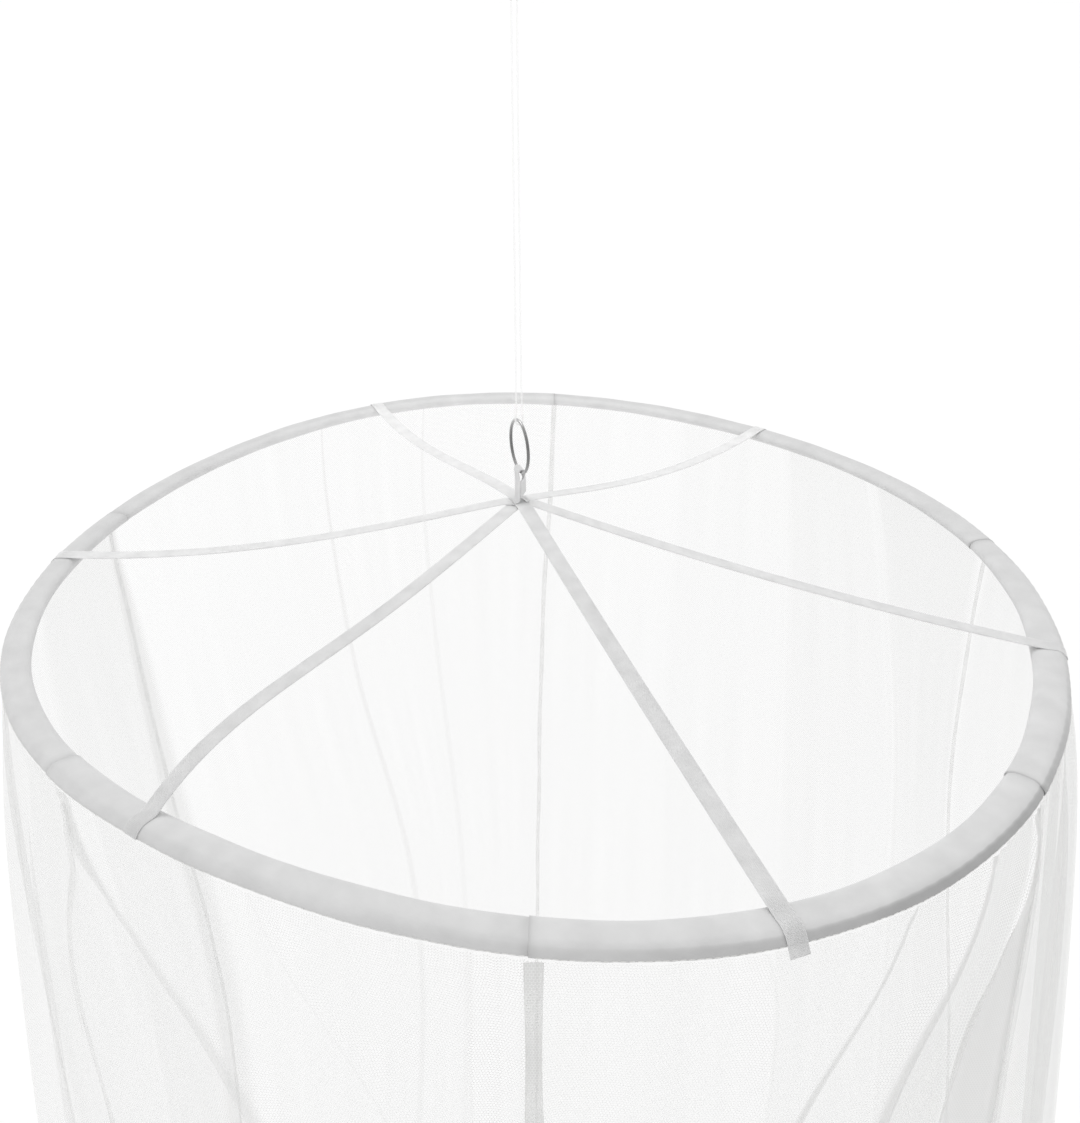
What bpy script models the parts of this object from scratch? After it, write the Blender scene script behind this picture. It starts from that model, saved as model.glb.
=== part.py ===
"""A mosquito net canopy on a sleeved hoop, hung by a doubled line from a ceiling hook.

Metres, +Z up. The origin is the middle of the ceiling face of the hook's plate. Azimuths are in degrees
seen from above, from +X (the right) towards +Y (the back), so -90 is the front.
"""

import math

import bmesh
import bpy
import numpy as np

# Where things hang
HANG = 0.430  # ceiling to the level of the hoop
DROP = 2.000  # level of the hoop to the hem of the net
HUB_RISE = 0.057  # the straps cross this far above the hoop
HOOP_SHIFT = 0.015  # the hoop's middle hangs this far to the right of the line
GAP = 0.0003  # between pieces that touch

# Hoop: a rod in a cloth sleeve. It is a little out of round and out of level.
HOOP_RADIUS = 0.325
ROD_RADIUS = 0.0020
# (waves round the hoop, height in metres, azimuth of a crest)
OUT_OF_ROUND = ((2, 0.0043, -26.0), (3, 0.0051, 60.0), (4, 0.0058, 15.0))
OUT_OF_LEVEL = ((1, 0.0037, 180.0), (2, 0.0077, 107.0), (3, 0.0016, 35.0))

SLEEVE_HALF_WIDTH = 0.0103
SLEEVE_WIDER_BY = 0.0009  # at the azimuth below, and as much narrower across from it
SLEEVE_WIDEST_AT = -25.0
SLEEVE_HALF_HEIGHT = 0.0040
SLEEVE_CLOTH = 0.0010
SLEEVE_LAP = 0.025  # each length starts this share wider and ends this share narrower
SLEEVE_STEP = 6.5  # degrees
# Once round the sleeve from its lower outer edge, up its slope and over the rod. Columns: share of the half
# width outwards, share of the half height upwards
SLEEVE_OUTLINE = (
    (0.88, -0.42),
    (0.82, 0.05),
    (0.65, 0.52),
    (0.42, 0.90),
    (0.12, 1.00),
    (-0.30, 1.00),
    (-0.68, 0.86),
    (-0.93, 0.46),
    (-1.00, -0.08),
    (-0.90, -0.60),
    (-0.55, -0.85),
    (0.00, -0.93),
    (0.50, -0.98),
    (0.76, -0.80),
)
SLEEVE_UNDERSIDE = 9  # the row of the outline where its underside starts

# Net
NET_CLOTH = 0.0012
HEM_CLOTH = 0.0022
HEM_HEIGHT = 0.022
NET_INSET = 0.0028  # its top edge is sewn this far inside the sleeve's outer edge
FLARE = 0.125  # outwards for each metre down
FLARE_UNEVEN = ((1, 0.012, -15.0),)  # and this much more or less round it, as waves
FLARE_SPRING = 0.011  # and this much more just under the hoop
FLARE_SPRING_DEPTH = 0.050
FOLD_GROWS_WITHIN = 0.060  # depth in which a fold takes its height
FOLD_AT_HEM = 2.2  # times as high at the hem
FOLD_WIDER_AT_HEM = 4.4
FOLD_HOLLOW = 0.85  # between two folds the net draws in by this share of their height
ROW_DEPTHS = (0.02, 0.04, 0.07, 0.11, 0.17, 0.26, 0.40, 0.62, 0.95, 1.40)

# The lines down the net, in order round it: the six seams and the main folds between them.
# Columns: name, azimuths at the depths of FOLD_STATIONS, height, half width, columns of the mesh after it
FOLD_STATIONS = (0.0, 0.03, 0.10, 0.30, 0.65, DROP)
FOLDS = (
    ("seam_left_front", (-142.8, -136.8, -137.2, -127.2, -123.0, -128.0), 0.012, 0.014, 4),
    ("drag_left_front", (-141.0, -134.5, -118.5, -103.0, -106.0, -110.0), 0.012, 0.012, 5),
    ("crease_left_front", (-117.0, -111.5, -101.9, -97.5, -99.5, -101.0), 0.007, 0.009, 4),
    ("crease_front", (-95.4, -95.3, -95.2, -93.5, -93.5, -94.0), 0.006, 0.008, 3),
    ("seam_front", (-91.2, -91.2, -91.2, -90.0, -89.0, -88.0), 0.008, 0.010, 4),
    ("crease_right_front", (-74.6, -73.5, -74.6, -80.0, -81.0, -80.0), 0.006, 0.008, 4),
    ("drag_right_front", (-59.5, -64.5, -72.3, -76.5, -76.0, -74.0), 0.008, 0.009, 4),
    ("flute_right_front", (-49.8, -54.3, -63.7, -71.0, -69.0, -66.0), 0.010, 0.010, 4),
    ("lap_right_front", (-43.0, -46.4, -56.8, -63.5, -62.0, -59.0), 0.010, 0.010, 3),
    ("seam_right_front", (-41.1, -44.5, -49.3, -53.5, -53.5, -51.0), 0.014, 0.013, 4),
    ("flute_right", (-33.0, -34.0, -36.0, -40.0, -40.0, -37.0), 0.012, 0.012, 4),
    ("flute_right_side", (-22.0, -22.0, -23.0, -25.0, -25.0, -23.0), 0.010, 0.011, 4),
    ("flute_right_edge", (-8.0, -8.0, -8.0, -8.0, -7.0, -6.0), 0.013, 0.014, 5),
    ("seam_right_back", (11.5, 14.9, 17.6, 19.7, 15.8, 16.5), 0.012, 0.014, 4),
    ("crease_right_back", (36.0, 35.5, 33.8, 30.4, 30.0, 33.0), 0.008, 0.012, 4),
    ("crease_back_right", (50.5, 50.4, 50.2, 49.8, 49.5, 50.0), 0.007, 0.012, 4),
    ("flute_back_right", (68.0, 68.0, 68.5, 70.0, 70.0, 70.0), 0.010, 0.016, 4),
    ("seam_back", (88.0, 88.3, 88.8, 90.2, 91.0, 91.4), 0.010, 0.012, 4),
    ("crease_back_left", (109.0, 109.1, 109.2, 107.5, 104.0, 107.0), 0.008, 0.012, 4),
    ("drag_back_left", (126.1, 125.7, 124.8, 121.2, 112.8, 118.0), 0.009, 0.012, 4),
    ("flute_back_left", (146.0, 145.5, 144.0, 138.0, 131.0, 135.0), 0.012, 0.016, 4),
    ("seam_left_back", (164.5, 163.0, 160.5, 156.0, 148.8, 151.0), 0.014, 0.014, 4),
    ("crease_left", (179.0, 179.0, 177.5, 170.0, 163.0, 168.0), 0.010, 0.012, 4),
    ("flute_left_side", (192.0, 192.0, 192.0, 188.0, 182.0, 187.0), 0.010, 0.013, 4),
    ("flute_left", (203.0, 205.0, 206.0, 205.0, 203.0, 205.0), 0.012, 0.012, 4),
    ("flute_left_edge", (210.5, 214.0, 215.5, 219.0, 220.0, 220.0), 0.011, 0.011, 3),
)
SEAMS = tuple(i for i, fold in enumerate(FOLDS) if fold[0].startswith("seam"))
PANELS = ("front_left", "front_right", "right", "back_right", "back_left", "left")

# Straps: three lengths of woven tape that cross at the hub
TAPE_WIDTH = 0.010
TAPE_CLOTH = 0.0010
HUB_FLAT = 0.010  # the straps lie flat on each other this far from the line
HUB_LAYER = 0.0014  # from one strap to the next below
STRAP_CLEARANCE = 0.0005  # from the sleeve to a strap that goes over it
TAIL_LENGTH = 0.004
# Columns: strap, then for each end: azimuth, sag (up is positive), where the sag is deepest, and whether it
# ends sewn at the sleeve's lower edge or goes on as a loose tail
STRAPS = (
    ("strap_front_right", ((-71.9, -0.002, 0.50, "tail"), (117.0, -0.0095, 0.65, "sewn"))),
    ("strap_right", ((-14.4, -0.006, 0.50, "sewn"), (175.4, -0.011, 0.55, "sewn"))),
    ("strap_front_left", ((-128.9, 0.012, 0.80, "sewn"), (54.2, -0.0125, 0.55, "sewn"))),
)

# Ring, and the loop of tape that joins it to the hub
RING_RADIUS = 0.0170  # to the middle of the wire
RING_WIRE = 0.0010
RING_TURN = 110.0  # azimuth that the ring's far side points to
RING_ABOVE_HUB = 0.0215  # the middle of its lowest wire
LOOP_WIDTH = 0.009
LOOP_CLOTH = 0.0010
LOOP_HALF_SPREAD = 0.0017  # of its two legs
LOOP_ROUND_WIRE = 0.0026
LOOP_FOOT = 0.005

# Line: one clear line, through the ring and over the hook, tied at one side
LINE_RADIUS = 0.00065
LINE_HALF_SPREAD = 0.0016
LINE_AT_RING = 0.0024  # from the ring's wire to the line's middle as it turns round it
LINE_STEP = 0.0055
KNOT_BELOW_HOOK = 0.010
KNOT_RADIUS = 0.0019

# Ceiling hook
HOOK_WIRE = 0.0020
HOOK_RADIUS = 0.009
HOOK_ABOVE_HOOP = 0.372  # the middle of its lowest wire
HOOK_MOUTH = 150.0  # where the hook's bend ends, in degrees round from its right
PLATE_RADIUS = 0.015
PLATE_THICKNESS = 0.003

# Finishes: colour, roughness, metallic
FINISHES = {
    "net": ((0.90, 0.90, 0.90), 0.9, 0.0),
    "sleeve_cloth": ((0.80, 0.80, 0.80), 0.9, 0.0),
    "woven_tape": ((0.76, 0.76, 0.76), 0.85, 0.0),
    "hoop_rod": ((0.75, 0.75, 0.74), 0.5, 0.0),
    "steel": ((0.45, 0.45, 0.46), 0.25, 1.0),
    "clear_line": ((0.93, 0.94, 0.94), 0.2, 0.0),
}


def finish(name):
    """The material of this name, made once."""
    found = bpy.data.materials.get(name)
    if found:
        return found
    colour, roughness, metallic = FINISHES[name]
    made = bpy.data.materials.new(name)
    made.use_nodes = True
    shader = made.node_tree.nodes["Principled BSDF"]
    shader.inputs["Base Color"].default_value = (*colour, 1.0)
    shader.inputs["Roughness"].default_value = roughness
    shader.inputs["Metallic"].default_value = metallic
    return made


def add_piece(name, points, faces, material, smooth=True):
    """One object from points and faces, with its faces turned outwards."""
    mesh = bpy.data.meshes.new(name)
    mesh.from_pydata(np.asarray(points).tolist(), [], [list(map(int, face)) for face in faces])
    shape = bmesh.new()
    shape.from_mesh(mesh)
    bmesh.ops.recalc_face_normals(shape, faces=shape.faces)
    shape.to_mesh(mesh)
    shape.free()
    if smooth:
        mesh.shade_smooth()
    mesh.materials.append(finish(material))
    piece = bpy.data.objects.new(name, mesh)
    bpy.context.scene.collection.objects.link(piece)
    return piece


def grid_faces(rows, columns, first=0, closed=False):
    """The four-sided faces of a grid of points, closed round in its columns if asked."""
    r, c = np.meshgrid(np.arange(rows - 1), np.arange(columns - (not closed)), indexing="ij")
    nxt = (c + 1) % columns
    corners = (r * columns + c, (r + 1) * columns + c, (r + 1) * columns + nxt, r * columns + nxt)
    return first + np.stack([corner.ravel() for corner in corners], axis=1)


def sheet_piece(name, outer, inner, material):
    """A closed sheet from the grids of its two sides."""
    rows, columns, _ = outer.shape
    index = np.arange(rows * columns).reshape(rows, columns)
    rim = np.concatenate([index[0], index[1:, -1], index[-1, -2::-1], index[-2:0:-1, 0]])
    nxt = np.roll(rim, -1)
    other = rows * columns
    edge = np.stack([rim, nxt, nxt + other, rim + other], axis=1)
    faces = [*grid_faces(rows, columns), *grid_faces(rows, columns, other), *edge]
    return add_piece(name, np.concatenate([outer.reshape(-1, 3), inner.reshape(-1, 3)]), faces, material)


def pipe_piece(name, outer, inner, material):
    """An open pipe from the grids of its two walls: a row for each section, closed round its columns."""
    rows, columns, _ = outer.shape
    other = rows * columns
    faces = [*grid_faces(rows, columns, 0, True), *grid_faces(rows, columns, other, True)]
    around = np.arange(columns)
    for start in (0, (rows - 1) * columns):
        first, second = start + around, start + np.roll(around, -1)
        faces += [*np.stack([first, second, second + other, first + other], axis=1)]
    return add_piece(name, np.concatenate([outer.reshape(-1, 3), inner.reshape(-1, 3)]), faces, material)


def loft_piece(name, sections, material, closed=False):
    """A solid through sections of equal point count: closed into a ring, or with flat ends."""
    rows, columns, _ = sections.shape
    grid = np.concatenate([sections, sections[:1]]) if closed else sections
    faces = [list(face) for face in grid_faces(len(grid), columns, 0, True) % (rows * columns)]
    if not closed:
        faces += [list(range(columns)), list(range((rows - 1) * columns, rows * columns))]
    return add_piece(name, sections.reshape(-1, 3), faces, material)


def wire_sections(path, side, radius, sides=8, closed=False):
    """Round sections along a path in a plane; side is the plane's unit normal."""
    if closed:
        along = np.roll(path, -1, axis=0) - np.roll(path, 1, axis=0)
    else:
        along = np.gradient(path, axis=0)
    along /= np.linalg.norm(along, axis=1, keepdims=True)
    across = np.cross(along, side)
    turn = np.radians(np.arange(sides) * 360 / sides + 180 / sides)[None, :, None]
    return path[:, None] + radius * (np.cos(turn) * across[:, None] + np.sin(turn) * np.asarray(side))


def tape_sections(path, side, width, cloth):
    """Flat sections along a path; side holds the direction of the tape's width at each point."""
    along = np.gradient(path, axis=0)
    along /= np.linalg.norm(along, axis=1, keepdims=True)
    up = np.cross(along, side)
    up /= np.linalg.norm(up, axis=1, keepdims=True)
    corners = ((1, 1), (1, -1), (-1, -1), (-1, 1))
    return np.stack([path + a * side * width / 2 + b * up * cloth / 2 for a, b in corners], axis=1)


def waves(table, azimuth):
    """The sum of a table's waves at this azimuth."""
    return sum(height * np.cos(np.radians(count * (azimuth - crest))) for count, height, crest in table)


def hoop_radius(azimuth):
    return HOOP_RADIUS + waves(OUT_OF_ROUND, azimuth)


def at(azimuth, radius, height):
    """Points at these azimuths and radii round the hoop's middle, at heights above the hoop's level."""
    turn = np.radians(azimuth)
    return np.stack(
        np.broadcast_arrays(HOOP_SHIFT + radius * np.cos(turn), radius * np.sin(turn), height - HANG), axis=-1
    )


def plain_half_width(azimuth):
    return SLEEVE_HALF_WIDTH + SLEEVE_WIDER_BY * np.cos(np.radians(azimuth - SLEEVE_WIDEST_AT))


def sleeve_half_width(azimuth):
    """Half the sleeve's width: each length of sleeve narrows from its start to its end."""
    starts = np.array([FOLDS[i][1][0] for i in SEAMS])
    starts = np.append(starts, starts[0] + 360)
    turned = (np.asarray(azimuth, float) - starts[0]) % 360 + starts[0]
    length = np.clip(np.searchsorted(starts, turned, side="right") - 1, 0, len(starts) - 2)
    share = (turned - starts[length]) / (starts[length + 1] - starts[length])
    return plain_half_width(azimuth) * (1 + SLEEVE_LAP * (1 - 2 * share))


def sleeve_section(outset):
    """The sleeve's outline in metres at its plain half width, moved outwards by the outset along its sides."""
    shape = np.array(SLEEVE_OUTLINE) * (SLEEVE_HALF_WIDTH, SLEEVE_HALF_HEIGHT)
    along = np.roll(shape, -1, axis=0) - shape
    after = np.stack([along[:, 1], -along[:, 0]], axis=1)
    after /= np.linalg.norm(after, axis=1, keepdims=True)
    corner = after + np.roll(after, 1, axis=0)
    corner /= np.linalg.norm(corner, axis=1, keepdims=True)
    return shape + outset * corner / np.sum(corner * after, axis=1, keepdims=True)


def sleeve_underside(azimuth, outset):
    """How far the sleeve reaches below its middle, this far outside it."""
    lower = np.array(SLEEVE_OUTLINE[SLEEVE_UNDERSIDE:] + SLEEVE_OUTLINE[:1])
    return -SLEEVE_HALF_HEIGHT * np.interp(outset / sleeve_half_width(azimuth), lower[:, 0], lower[:, 1])


def make_hoop():
    """The rod, which the sleeve's top rests on."""
    azimuth = np.arange(0, 360, 6.0)
    rise = SLEEVE_HALF_HEIGHT - SLEEVE_CLOTH - ROD_RADIUS - 2 * GAP
    middle = at(azimuth, hoop_radius(azimuth), waves(OUT_OF_LEVEL, azimuth) + rise)
    outwards = at(azimuth, 1.0, 0.0) - at(azimuth, 0.0, 0.0)
    turn = np.radians(np.arange(6) * 60.0)[None, :, None]
    up = np.array([0.0, 0.0, 1.0])
    sections = middle[:, None] + ROD_RADIUS * (np.cos(turn) * outwards[:, None] + np.sin(turn) * up)
    loft_piece("hoop_rod", sections, "hoop_rod", closed=True)


def make_sleeves():
    """Six lengths of sleeve, from seam to seam, each with the rod through it."""
    for k, name in enumerate(PANELS):
        start = FOLDS[SEAMS[k]][1][0]
        end = FOLDS[SEAMS[(k + 1) % len(SEAMS)]][1][0] + 360 * (k == len(SEAMS) - 1)
        inset = math.degrees(GAP / 2 / HOOP_RADIUS)
        count = round((end - start) / SLEEVE_STEP) + 1
        azimuth = np.linspace(start + inset, end - inset, count)[:, None]
        walls = []
        for outset in (0.0, -SLEEVE_CLOTH):
            across, up = sleeve_section(outset).T
            across = across * sleeve_half_width(azimuth) / SLEEVE_HALF_WIDTH
            walls.append(at(azimuth, hoop_radius(azimuth) + across, waves(OUT_OF_LEVEL, azimuth) + up))
        pipe_piece(f"sleeve_{name}", *walls, "sleeve_cloth")


def smooth_through(stations, values, depth):
    """A smooth curve through values at stations, read at each depth. It runs evenly in the depth's root."""
    x, at_x = np.sqrt(stations), np.sqrt(depth)
    slope = np.gradient(values, x)
    i = np.clip(np.searchsorted(x, at_x, side="right") - 1, 0, len(x) - 2)
    span = x[i + 1] - x[i]
    t = (at_x - x[i]) / span
    start, end = values[i], values[i + 1]
    return (
        start * (1 + 2 * t) * (1 - t) ** 2
        + span * slope[i] * t * (1 - t) ** 2
        + end * t * t * (3 - 2 * t)
        + span * slope[i + 1] * t * t * (t - 1)
    )


def fold_at(number, depth):
    """A fold's azimuth, height and half width at these depths. Numbers past the last go round again."""
    _, azimuths, height, width, _ = FOLDS[number % len(FOLDS)]
    azimuth = smooth_through(np.array(FOLD_STATIONS), np.array(azimuths), depth)
    down = depth / DROP
    grown = height * (1 - np.exp(-depth / FOLD_GROWS_WITHIN)) * (1 + (FOLD_AT_HEM - 1) * down)
    return azimuth + 360 * (number // len(FOLDS)), grown, width * (1 + (FOLD_WIDER_AT_HEM - 1) * down)


def net_middle(number, share, depth):
    """The middle of the net between a fold and the next, by the share of the way across and the depth."""
    first, first_height, first_width = fold_at(number, depth)
    second, second_height, second_width = fold_at(number + 1, depth)
    azimuth = first + (second - first) * share
    down = depth / DROP
    plain = HOOP_RADIUS + waves(OUT_OF_ROUND, azimuth) * (1 - down) + plain_half_width(azimuth) - NET_INSET
    plain = plain + (FLARE + waves(FLARE_UNEVEN, azimuth)) * depth
    plain = plain + FLARE_SPRING * (1 - np.exp(-depth / FLARE_SPRING_DEPTH))
    from_first = np.radians(azimuth - first) * plain
    from_second = np.radians(second - azimuth) * plain
    ridge = first_height * np.exp(-((from_first / first_width) ** 2))
    ridge = ridge + second_height * np.exp(-((from_second / second_width) ** 2))
    hollow = FOLD_HOLLOW * (first_height + (second_height - first_height) * share)
    return azimuth, plain + ridge - hollow, waves(OUT_OF_LEVEL, azimuth) * (1 - down) - depth


def net_top_depth(azimuth):
    """Depth of the net's sewn top edge, just under the sleeve."""
    outset = plain_half_width(azimuth) - NET_INSET
    edges = (sleeve_underside(azimuth, outset + side * NET_CLOTH / 2) for side in (-1, 1))
    return np.maximum(*edges) + 1.5 * GAP


def net_panel(name, first, last):
    """One panel of net, hung from one seam to the next."""
    numbers, shares = [], []
    for number in range(first, last):
        count = FOLDS[number % len(FOLDS)][4]
        shares += [k / count for k in range(count)]
        numbers += [number] * count
    numbers.append(last - 1)
    shares.append(1.0)
    depths = np.array([*ROW_DEPTHS, DROP - HEM_HEIGHT, DROP])
    columns = []
    for number, share in zip(numbers, shares):
        top = net_top_depth(net_middle(number, share, np.array([0.0]))[0])
        columns.append(net_middle(number, share, np.concatenate([top, depths])))
    azimuth, radius, height = (np.stack(part, axis=1) for part in zip(*columns))
    inset = np.degrees(0.8 * GAP / radius)
    azimuth[:, 0] += inset[:, 0]
    azimuth[:, -1] -= inset[:, -1]
    middle = at(azimuth, radius, height)
    out = np.cross(np.gradient(middle, axis=0), np.gradient(middle, axis=1))
    out[0, :, 2] = 0.0
    # At a seam both panels take the direction straight out from the middle, so that their edges match.
    for edge in (0, -1):
        out[:, edge] = at(azimuth[:, edge], 1.0, 0.0) - at(azimuth[:, edge], 0.0, 0.0)
    out /= np.linalg.norm(out, axis=2, keepdims=True)
    cloth = np.full((len(middle), 1, 1), NET_CLOTH)
    cloth[-2:] = HEM_CLOTH
    sheet_piece(f"net_{name}", middle + out * cloth / 2, middle - out * cloth / 2, "net")


def make_net():
    for k, name in enumerate(PANELS):
        last = SEAMS[k + 1] if k + 1 < len(SEAMS) else SEAMS[0] + len(FOLDS)
        net_panel(name, SEAMS[k], last)


def sag_shape(share, deepest):
    """1 where the sag is deepest and 0 at both ends; share is the way from the hub."""
    return (share / deepest) ** (deepest / (1 - deepest)) * (1 - share) / (1 - deepest)


def strap_half(azimuth, sag, deepest, ending, hub_height):
    """Points of one strap from the hub out, as distance from the line and height, and its direction."""
    end = at(azimuth, hoop_radius(azimuth), waves(OUT_OF_LEVEL, azimuth))
    reach = math.hypot(end[0], end[1])
    over = sleeve_section(STRAP_CLEARANCE + TAPE_CLOTH / 2)
    over[:, 0] *= sleeve_half_width(azimuth) / SLEEVE_HALF_WIDTH
    over += (reach, end[2] + HANG)
    # The strap's own slope where it comes down to the sleeve tells which corner it touches first.
    touch = 4
    share = np.linspace(0, 1, 11)
    for _ in range(4):
        distance = HUB_FLAT + (over[touch, 0] - HUB_FLAT) * share
        height = hub_height + (over[touch, 1] - hub_height) * share + sag * sag_shape(share, deepest)
        slope = (height[-1] - height[-2]) / (distance[-1] - distance[-2])
        touch = int(np.argmax(over[:, 1] - slope * over[:, 0]))
    main = np.stack([distance, height], axis=1)
    down = over[touch - 1 :: -1]
    if ending == "tail":
        droop = down[-1] + TAIL_LENGTH * np.array([[0.26, -0.30], [0.50, -0.64], [0.68, -0.96]])
        down = np.concatenate([down, droop])
    else:
        down[-1] += 0.25 * (down[-2] - down[-1])
    return np.concatenate([[[0.0, hub_height]], main, down]), end


def make_straps():
    """Three straps, crossed on top of each other at the hub."""
    for layer, (name, ends) in enumerate(STRAPS):
        hub_height = HUB_RISE - layer * HUB_LAYER
        paths, sides = [], []
        for azimuth, sag, deepest, ending in ends:
            points, end = strap_half(azimuth, sag, deepest, ending, hub_height)
            towards = np.array([end[0], end[1], 0.0]) / math.hypot(end[0], end[1])
            paths.append(points[:, :1] * towards + points[:, 1:] * (0.0, 0.0, 1.0) - (0.0, 0.0, HANG))
            sides.append(np.tile(np.cross((0.0, 0.0, 1.0), towards), (len(points), 1)))
        path = np.concatenate([paths[0][::-1], paths[1][1:]])
        side = np.concatenate([sides[0][::-1], -sides[1][1:]])
        hub = len(paths[0]) - 1
        side[hub] = side[hub - 1] + side[hub + 1]
        side[hub] /= np.linalg.norm(side[hub])
        loft_piece(name, tape_sections(path, side, TAPE_WIDTH, TAPE_CLOTH), "woven_tape")


def ring_directions():
    """Along the ring's plane, and across it, both level."""
    turn = math.radians(RING_TURN)
    along = np.array([math.cos(turn), math.sin(turn), 0.0])
    return along, np.array([math.sin(turn), -math.cos(turn), 0.0])


def make_ring():
    along, across = ring_directions()
    middle = np.array([0.0, 0.0, HUB_RISE + RING_ABOVE_HUB + RING_RADIUS - HANG])
    turn = np.radians(np.arange(28) * 360 / 28)[:, None]
    path = middle + RING_RADIUS * (np.cos(turn) * along + np.sin(turn) * np.array([0.0, 0.0, 1.0]))
    loft_piece("ring", wire_sections(path, across, RING_WIRE, closed=True), "steel", closed=True)


def make_loop():
    """The loop of tape: a foot on the hub, up, over the ring's lowest wire, down to its other foot."""
    along, across = ring_directions()
    foot = TAPE_CLOTH / 2 + GAP + LOOP_CLOTH / 2
    leg, wire = LOOP_HALF_SPREAD, LOOP_ROUND_WIRE
    half = [(LOOP_FOOT, foot), (leg + 0.0013, foot), (leg + 0.0002, foot + 0.0010), (leg, foot + 0.004)]
    half += [(leg, RING_ABOVE_HUB - 0.0055), (wire * 0.80, RING_ABOVE_HUB - 0.0022)]
    turn = np.radians(np.array([0.0, 30.0, 60.0]))
    arch = np.stack([wire * np.cos(turn), RING_ABOVE_HUB + wire * np.sin(turn)], axis=1)
    half = np.concatenate([half, arch])
    outline = np.concatenate([half, [[0.0, RING_ABOVE_HUB + wire]], half[::-1] * (-1.0, 1.0)])
    path = outline[:, :1] * across + (outline[:, 1:] + HUB_RISE - HANG) * (0.0, 0.0, 1.0)
    side = np.tile(along, (len(path), 1))
    loft_piece("ring_loop", tape_sections(path, side, LOOP_WIDTH, LOOP_CLOTH), "woven_tape")


def line_routes():
    """The middle of the line's two lengths: round the ring, up and over the hook to the knot, and the other."""
    _, across = ring_directions()
    ring_top = HUB_RISE + RING_ABOVE_HUB + 2 * RING_RADIUS
    hook = HOOK_ABOVE_HOOP
    at_hook = HOOK_WIRE + LINE_RADIUS + 2 * GAP
    knot = hook - KNOT_BELOW_HOOK
    turn = np.radians(np.arange(0, -181, -30.0))
    bight = np.stack([LINE_AT_RING * np.cos(turn), ring_top + LINE_AT_RING * np.sin(turn)], axis=1)
    rise = np.arange(ring_top + LINE_STEP, hook - LINE_STEP, LINE_STEP)
    spread = LINE_HALF_SPREAD + (LINE_AT_RING - LINE_HALF_SPREAD) * np.exp(-(rise - ring_top) / 0.012)
    spread = spread + (at_hook - LINE_HALF_SPREAD) * np.exp(-(hook - rise) / 0.008)
    turn = np.radians(np.arange(180, -1, -30.0))
    over = np.stack([at_hook * np.cos(turn), hook + at_hook * np.sin(turn)], axis=1)
    down = np.array([[at_hook * 0.93, hook - 0.003], [at_hook * 0.80, knot + KNOT_RADIUS + GAP]])
    first = np.concatenate([bight, np.stack([-spread, rise], axis=1), over, down])
    second_rise = np.append(rise[rise < knot - 2 * KNOT_RADIUS], knot - KNOT_RADIUS - GAP)
    second_spread = np.append(spread[: len(second_rise) - 1], at_hook * 0.80)
    start = np.array([[LINE_AT_RING, ring_top + 2 * GAP]])
    second = np.concatenate([start, np.stack([second_spread, second_rise], axis=1)])

    def place(flat):
        return flat[:, :1] * across + (flat[:, 1:] - HANG) * (0.0, 0.0, 1.0)

    return place(first), place(second[::2]), place(np.array([[at_hook * 0.80, knot]]))[0]


def make_line():
    first, second, knot = line_routes()
    for name, route in (("line_over_hook", first), ("line_to_knot", second)):
        curve = bpy.data.curves.new(name, "CURVE")
        curve.dimensions = "3D"
        spline = curve.splines.new("POLY")
        spline.points.add(len(route) - 1)
        spline.points.foreach_set("co", np.column_stack([route, np.ones(len(route))]).ravel())
        curve.bevel_depth = LINE_RADIUS
        curve.bevel_resolution = 2
        curve.use_fill_caps = True
        curve.materials.append(finish("clear_line"))
        bpy.context.scene.collection.objects.link(bpy.data.objects.new(name, curve))
    ball = bmesh.new()
    bmesh.ops.create_icosphere(ball, subdivisions=2, radius=KNOT_RADIUS)
    mesh = bpy.data.meshes.new("line_knot")
    ball.to_mesh(mesh)
    ball.free()
    mesh.shade_smooth()
    mesh.materials.append(finish("clear_line"))
    piece = bpy.data.objects.new("line_knot", mesh)
    piece.location = knot
    bpy.context.scene.collection.objects.link(piece)


def make_hook():
    """A ceiling hook: its plate, and a wire shank bent round into an open hook."""
    along, across = ring_directions()
    plate = bmesh.new()
    bmesh.ops.create_cone(
        plate, cap_ends=True, segments=32, radius1=PLATE_RADIUS * 0.86, radius2=PLATE_RADIUS, depth=PLATE_THICKNESS
    )
    mesh = bpy.data.meshes.new("ceiling_plate")
    plate.to_mesh(mesh)
    plate.free()
    mesh.materials.append(finish("steel"))
    piece = bpy.data.objects.new("ceiling_plate", mesh)
    piece.location = (0.0, 0.0, -PLATE_THICKNESS / 2)
    bpy.context.scene.collection.objects.link(piece)
    top = HANG - PLATE_THICKNESS - GAP
    middle = HOOK_ABOVE_HOOP + HOOK_RADIUS
    # The bend starts at the shank, goes round by one side and under, and ends at the mouth.
    turn = np.radians(np.linspace(90, HOOK_MOUTH - 360, 15))
    bend = np.stack([HOOK_RADIUS * np.cos(turn), middle + HOOK_RADIUS * np.sin(turn)], axis=1)
    shank = np.array([[0.0, top], [0.0, (top + bend[0, 1]) / 2], [0.0, bend[0, 1] + 0.004]])
    outline = np.concatenate([shank, bend])
    path = outline[:, :1] * along + (outline[:, 1:] - HANG) * (0.0, 0.0, 1.0)
    loft_piece("ceiling_hook", wire_sections(path, across, HOOK_WIRE), "steel")


for leftover in list(bpy.data.objects):
    bpy.data.objects.remove(leftover)
make_hoop()
make_sleeves()
make_net()
make_straps()
make_ring()
make_loop()
make_line()
make_hook()
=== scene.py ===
"""Looks for the mosquito net canopy: cloth sleeve on a hoop, net, straps, ring, line and hook.

Metres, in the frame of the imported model. Azimuths are in degrees seen from above, from +X towards +Y.
"""

import math

import bpy
import numpy as np
from mathutils import Matrix


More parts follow.
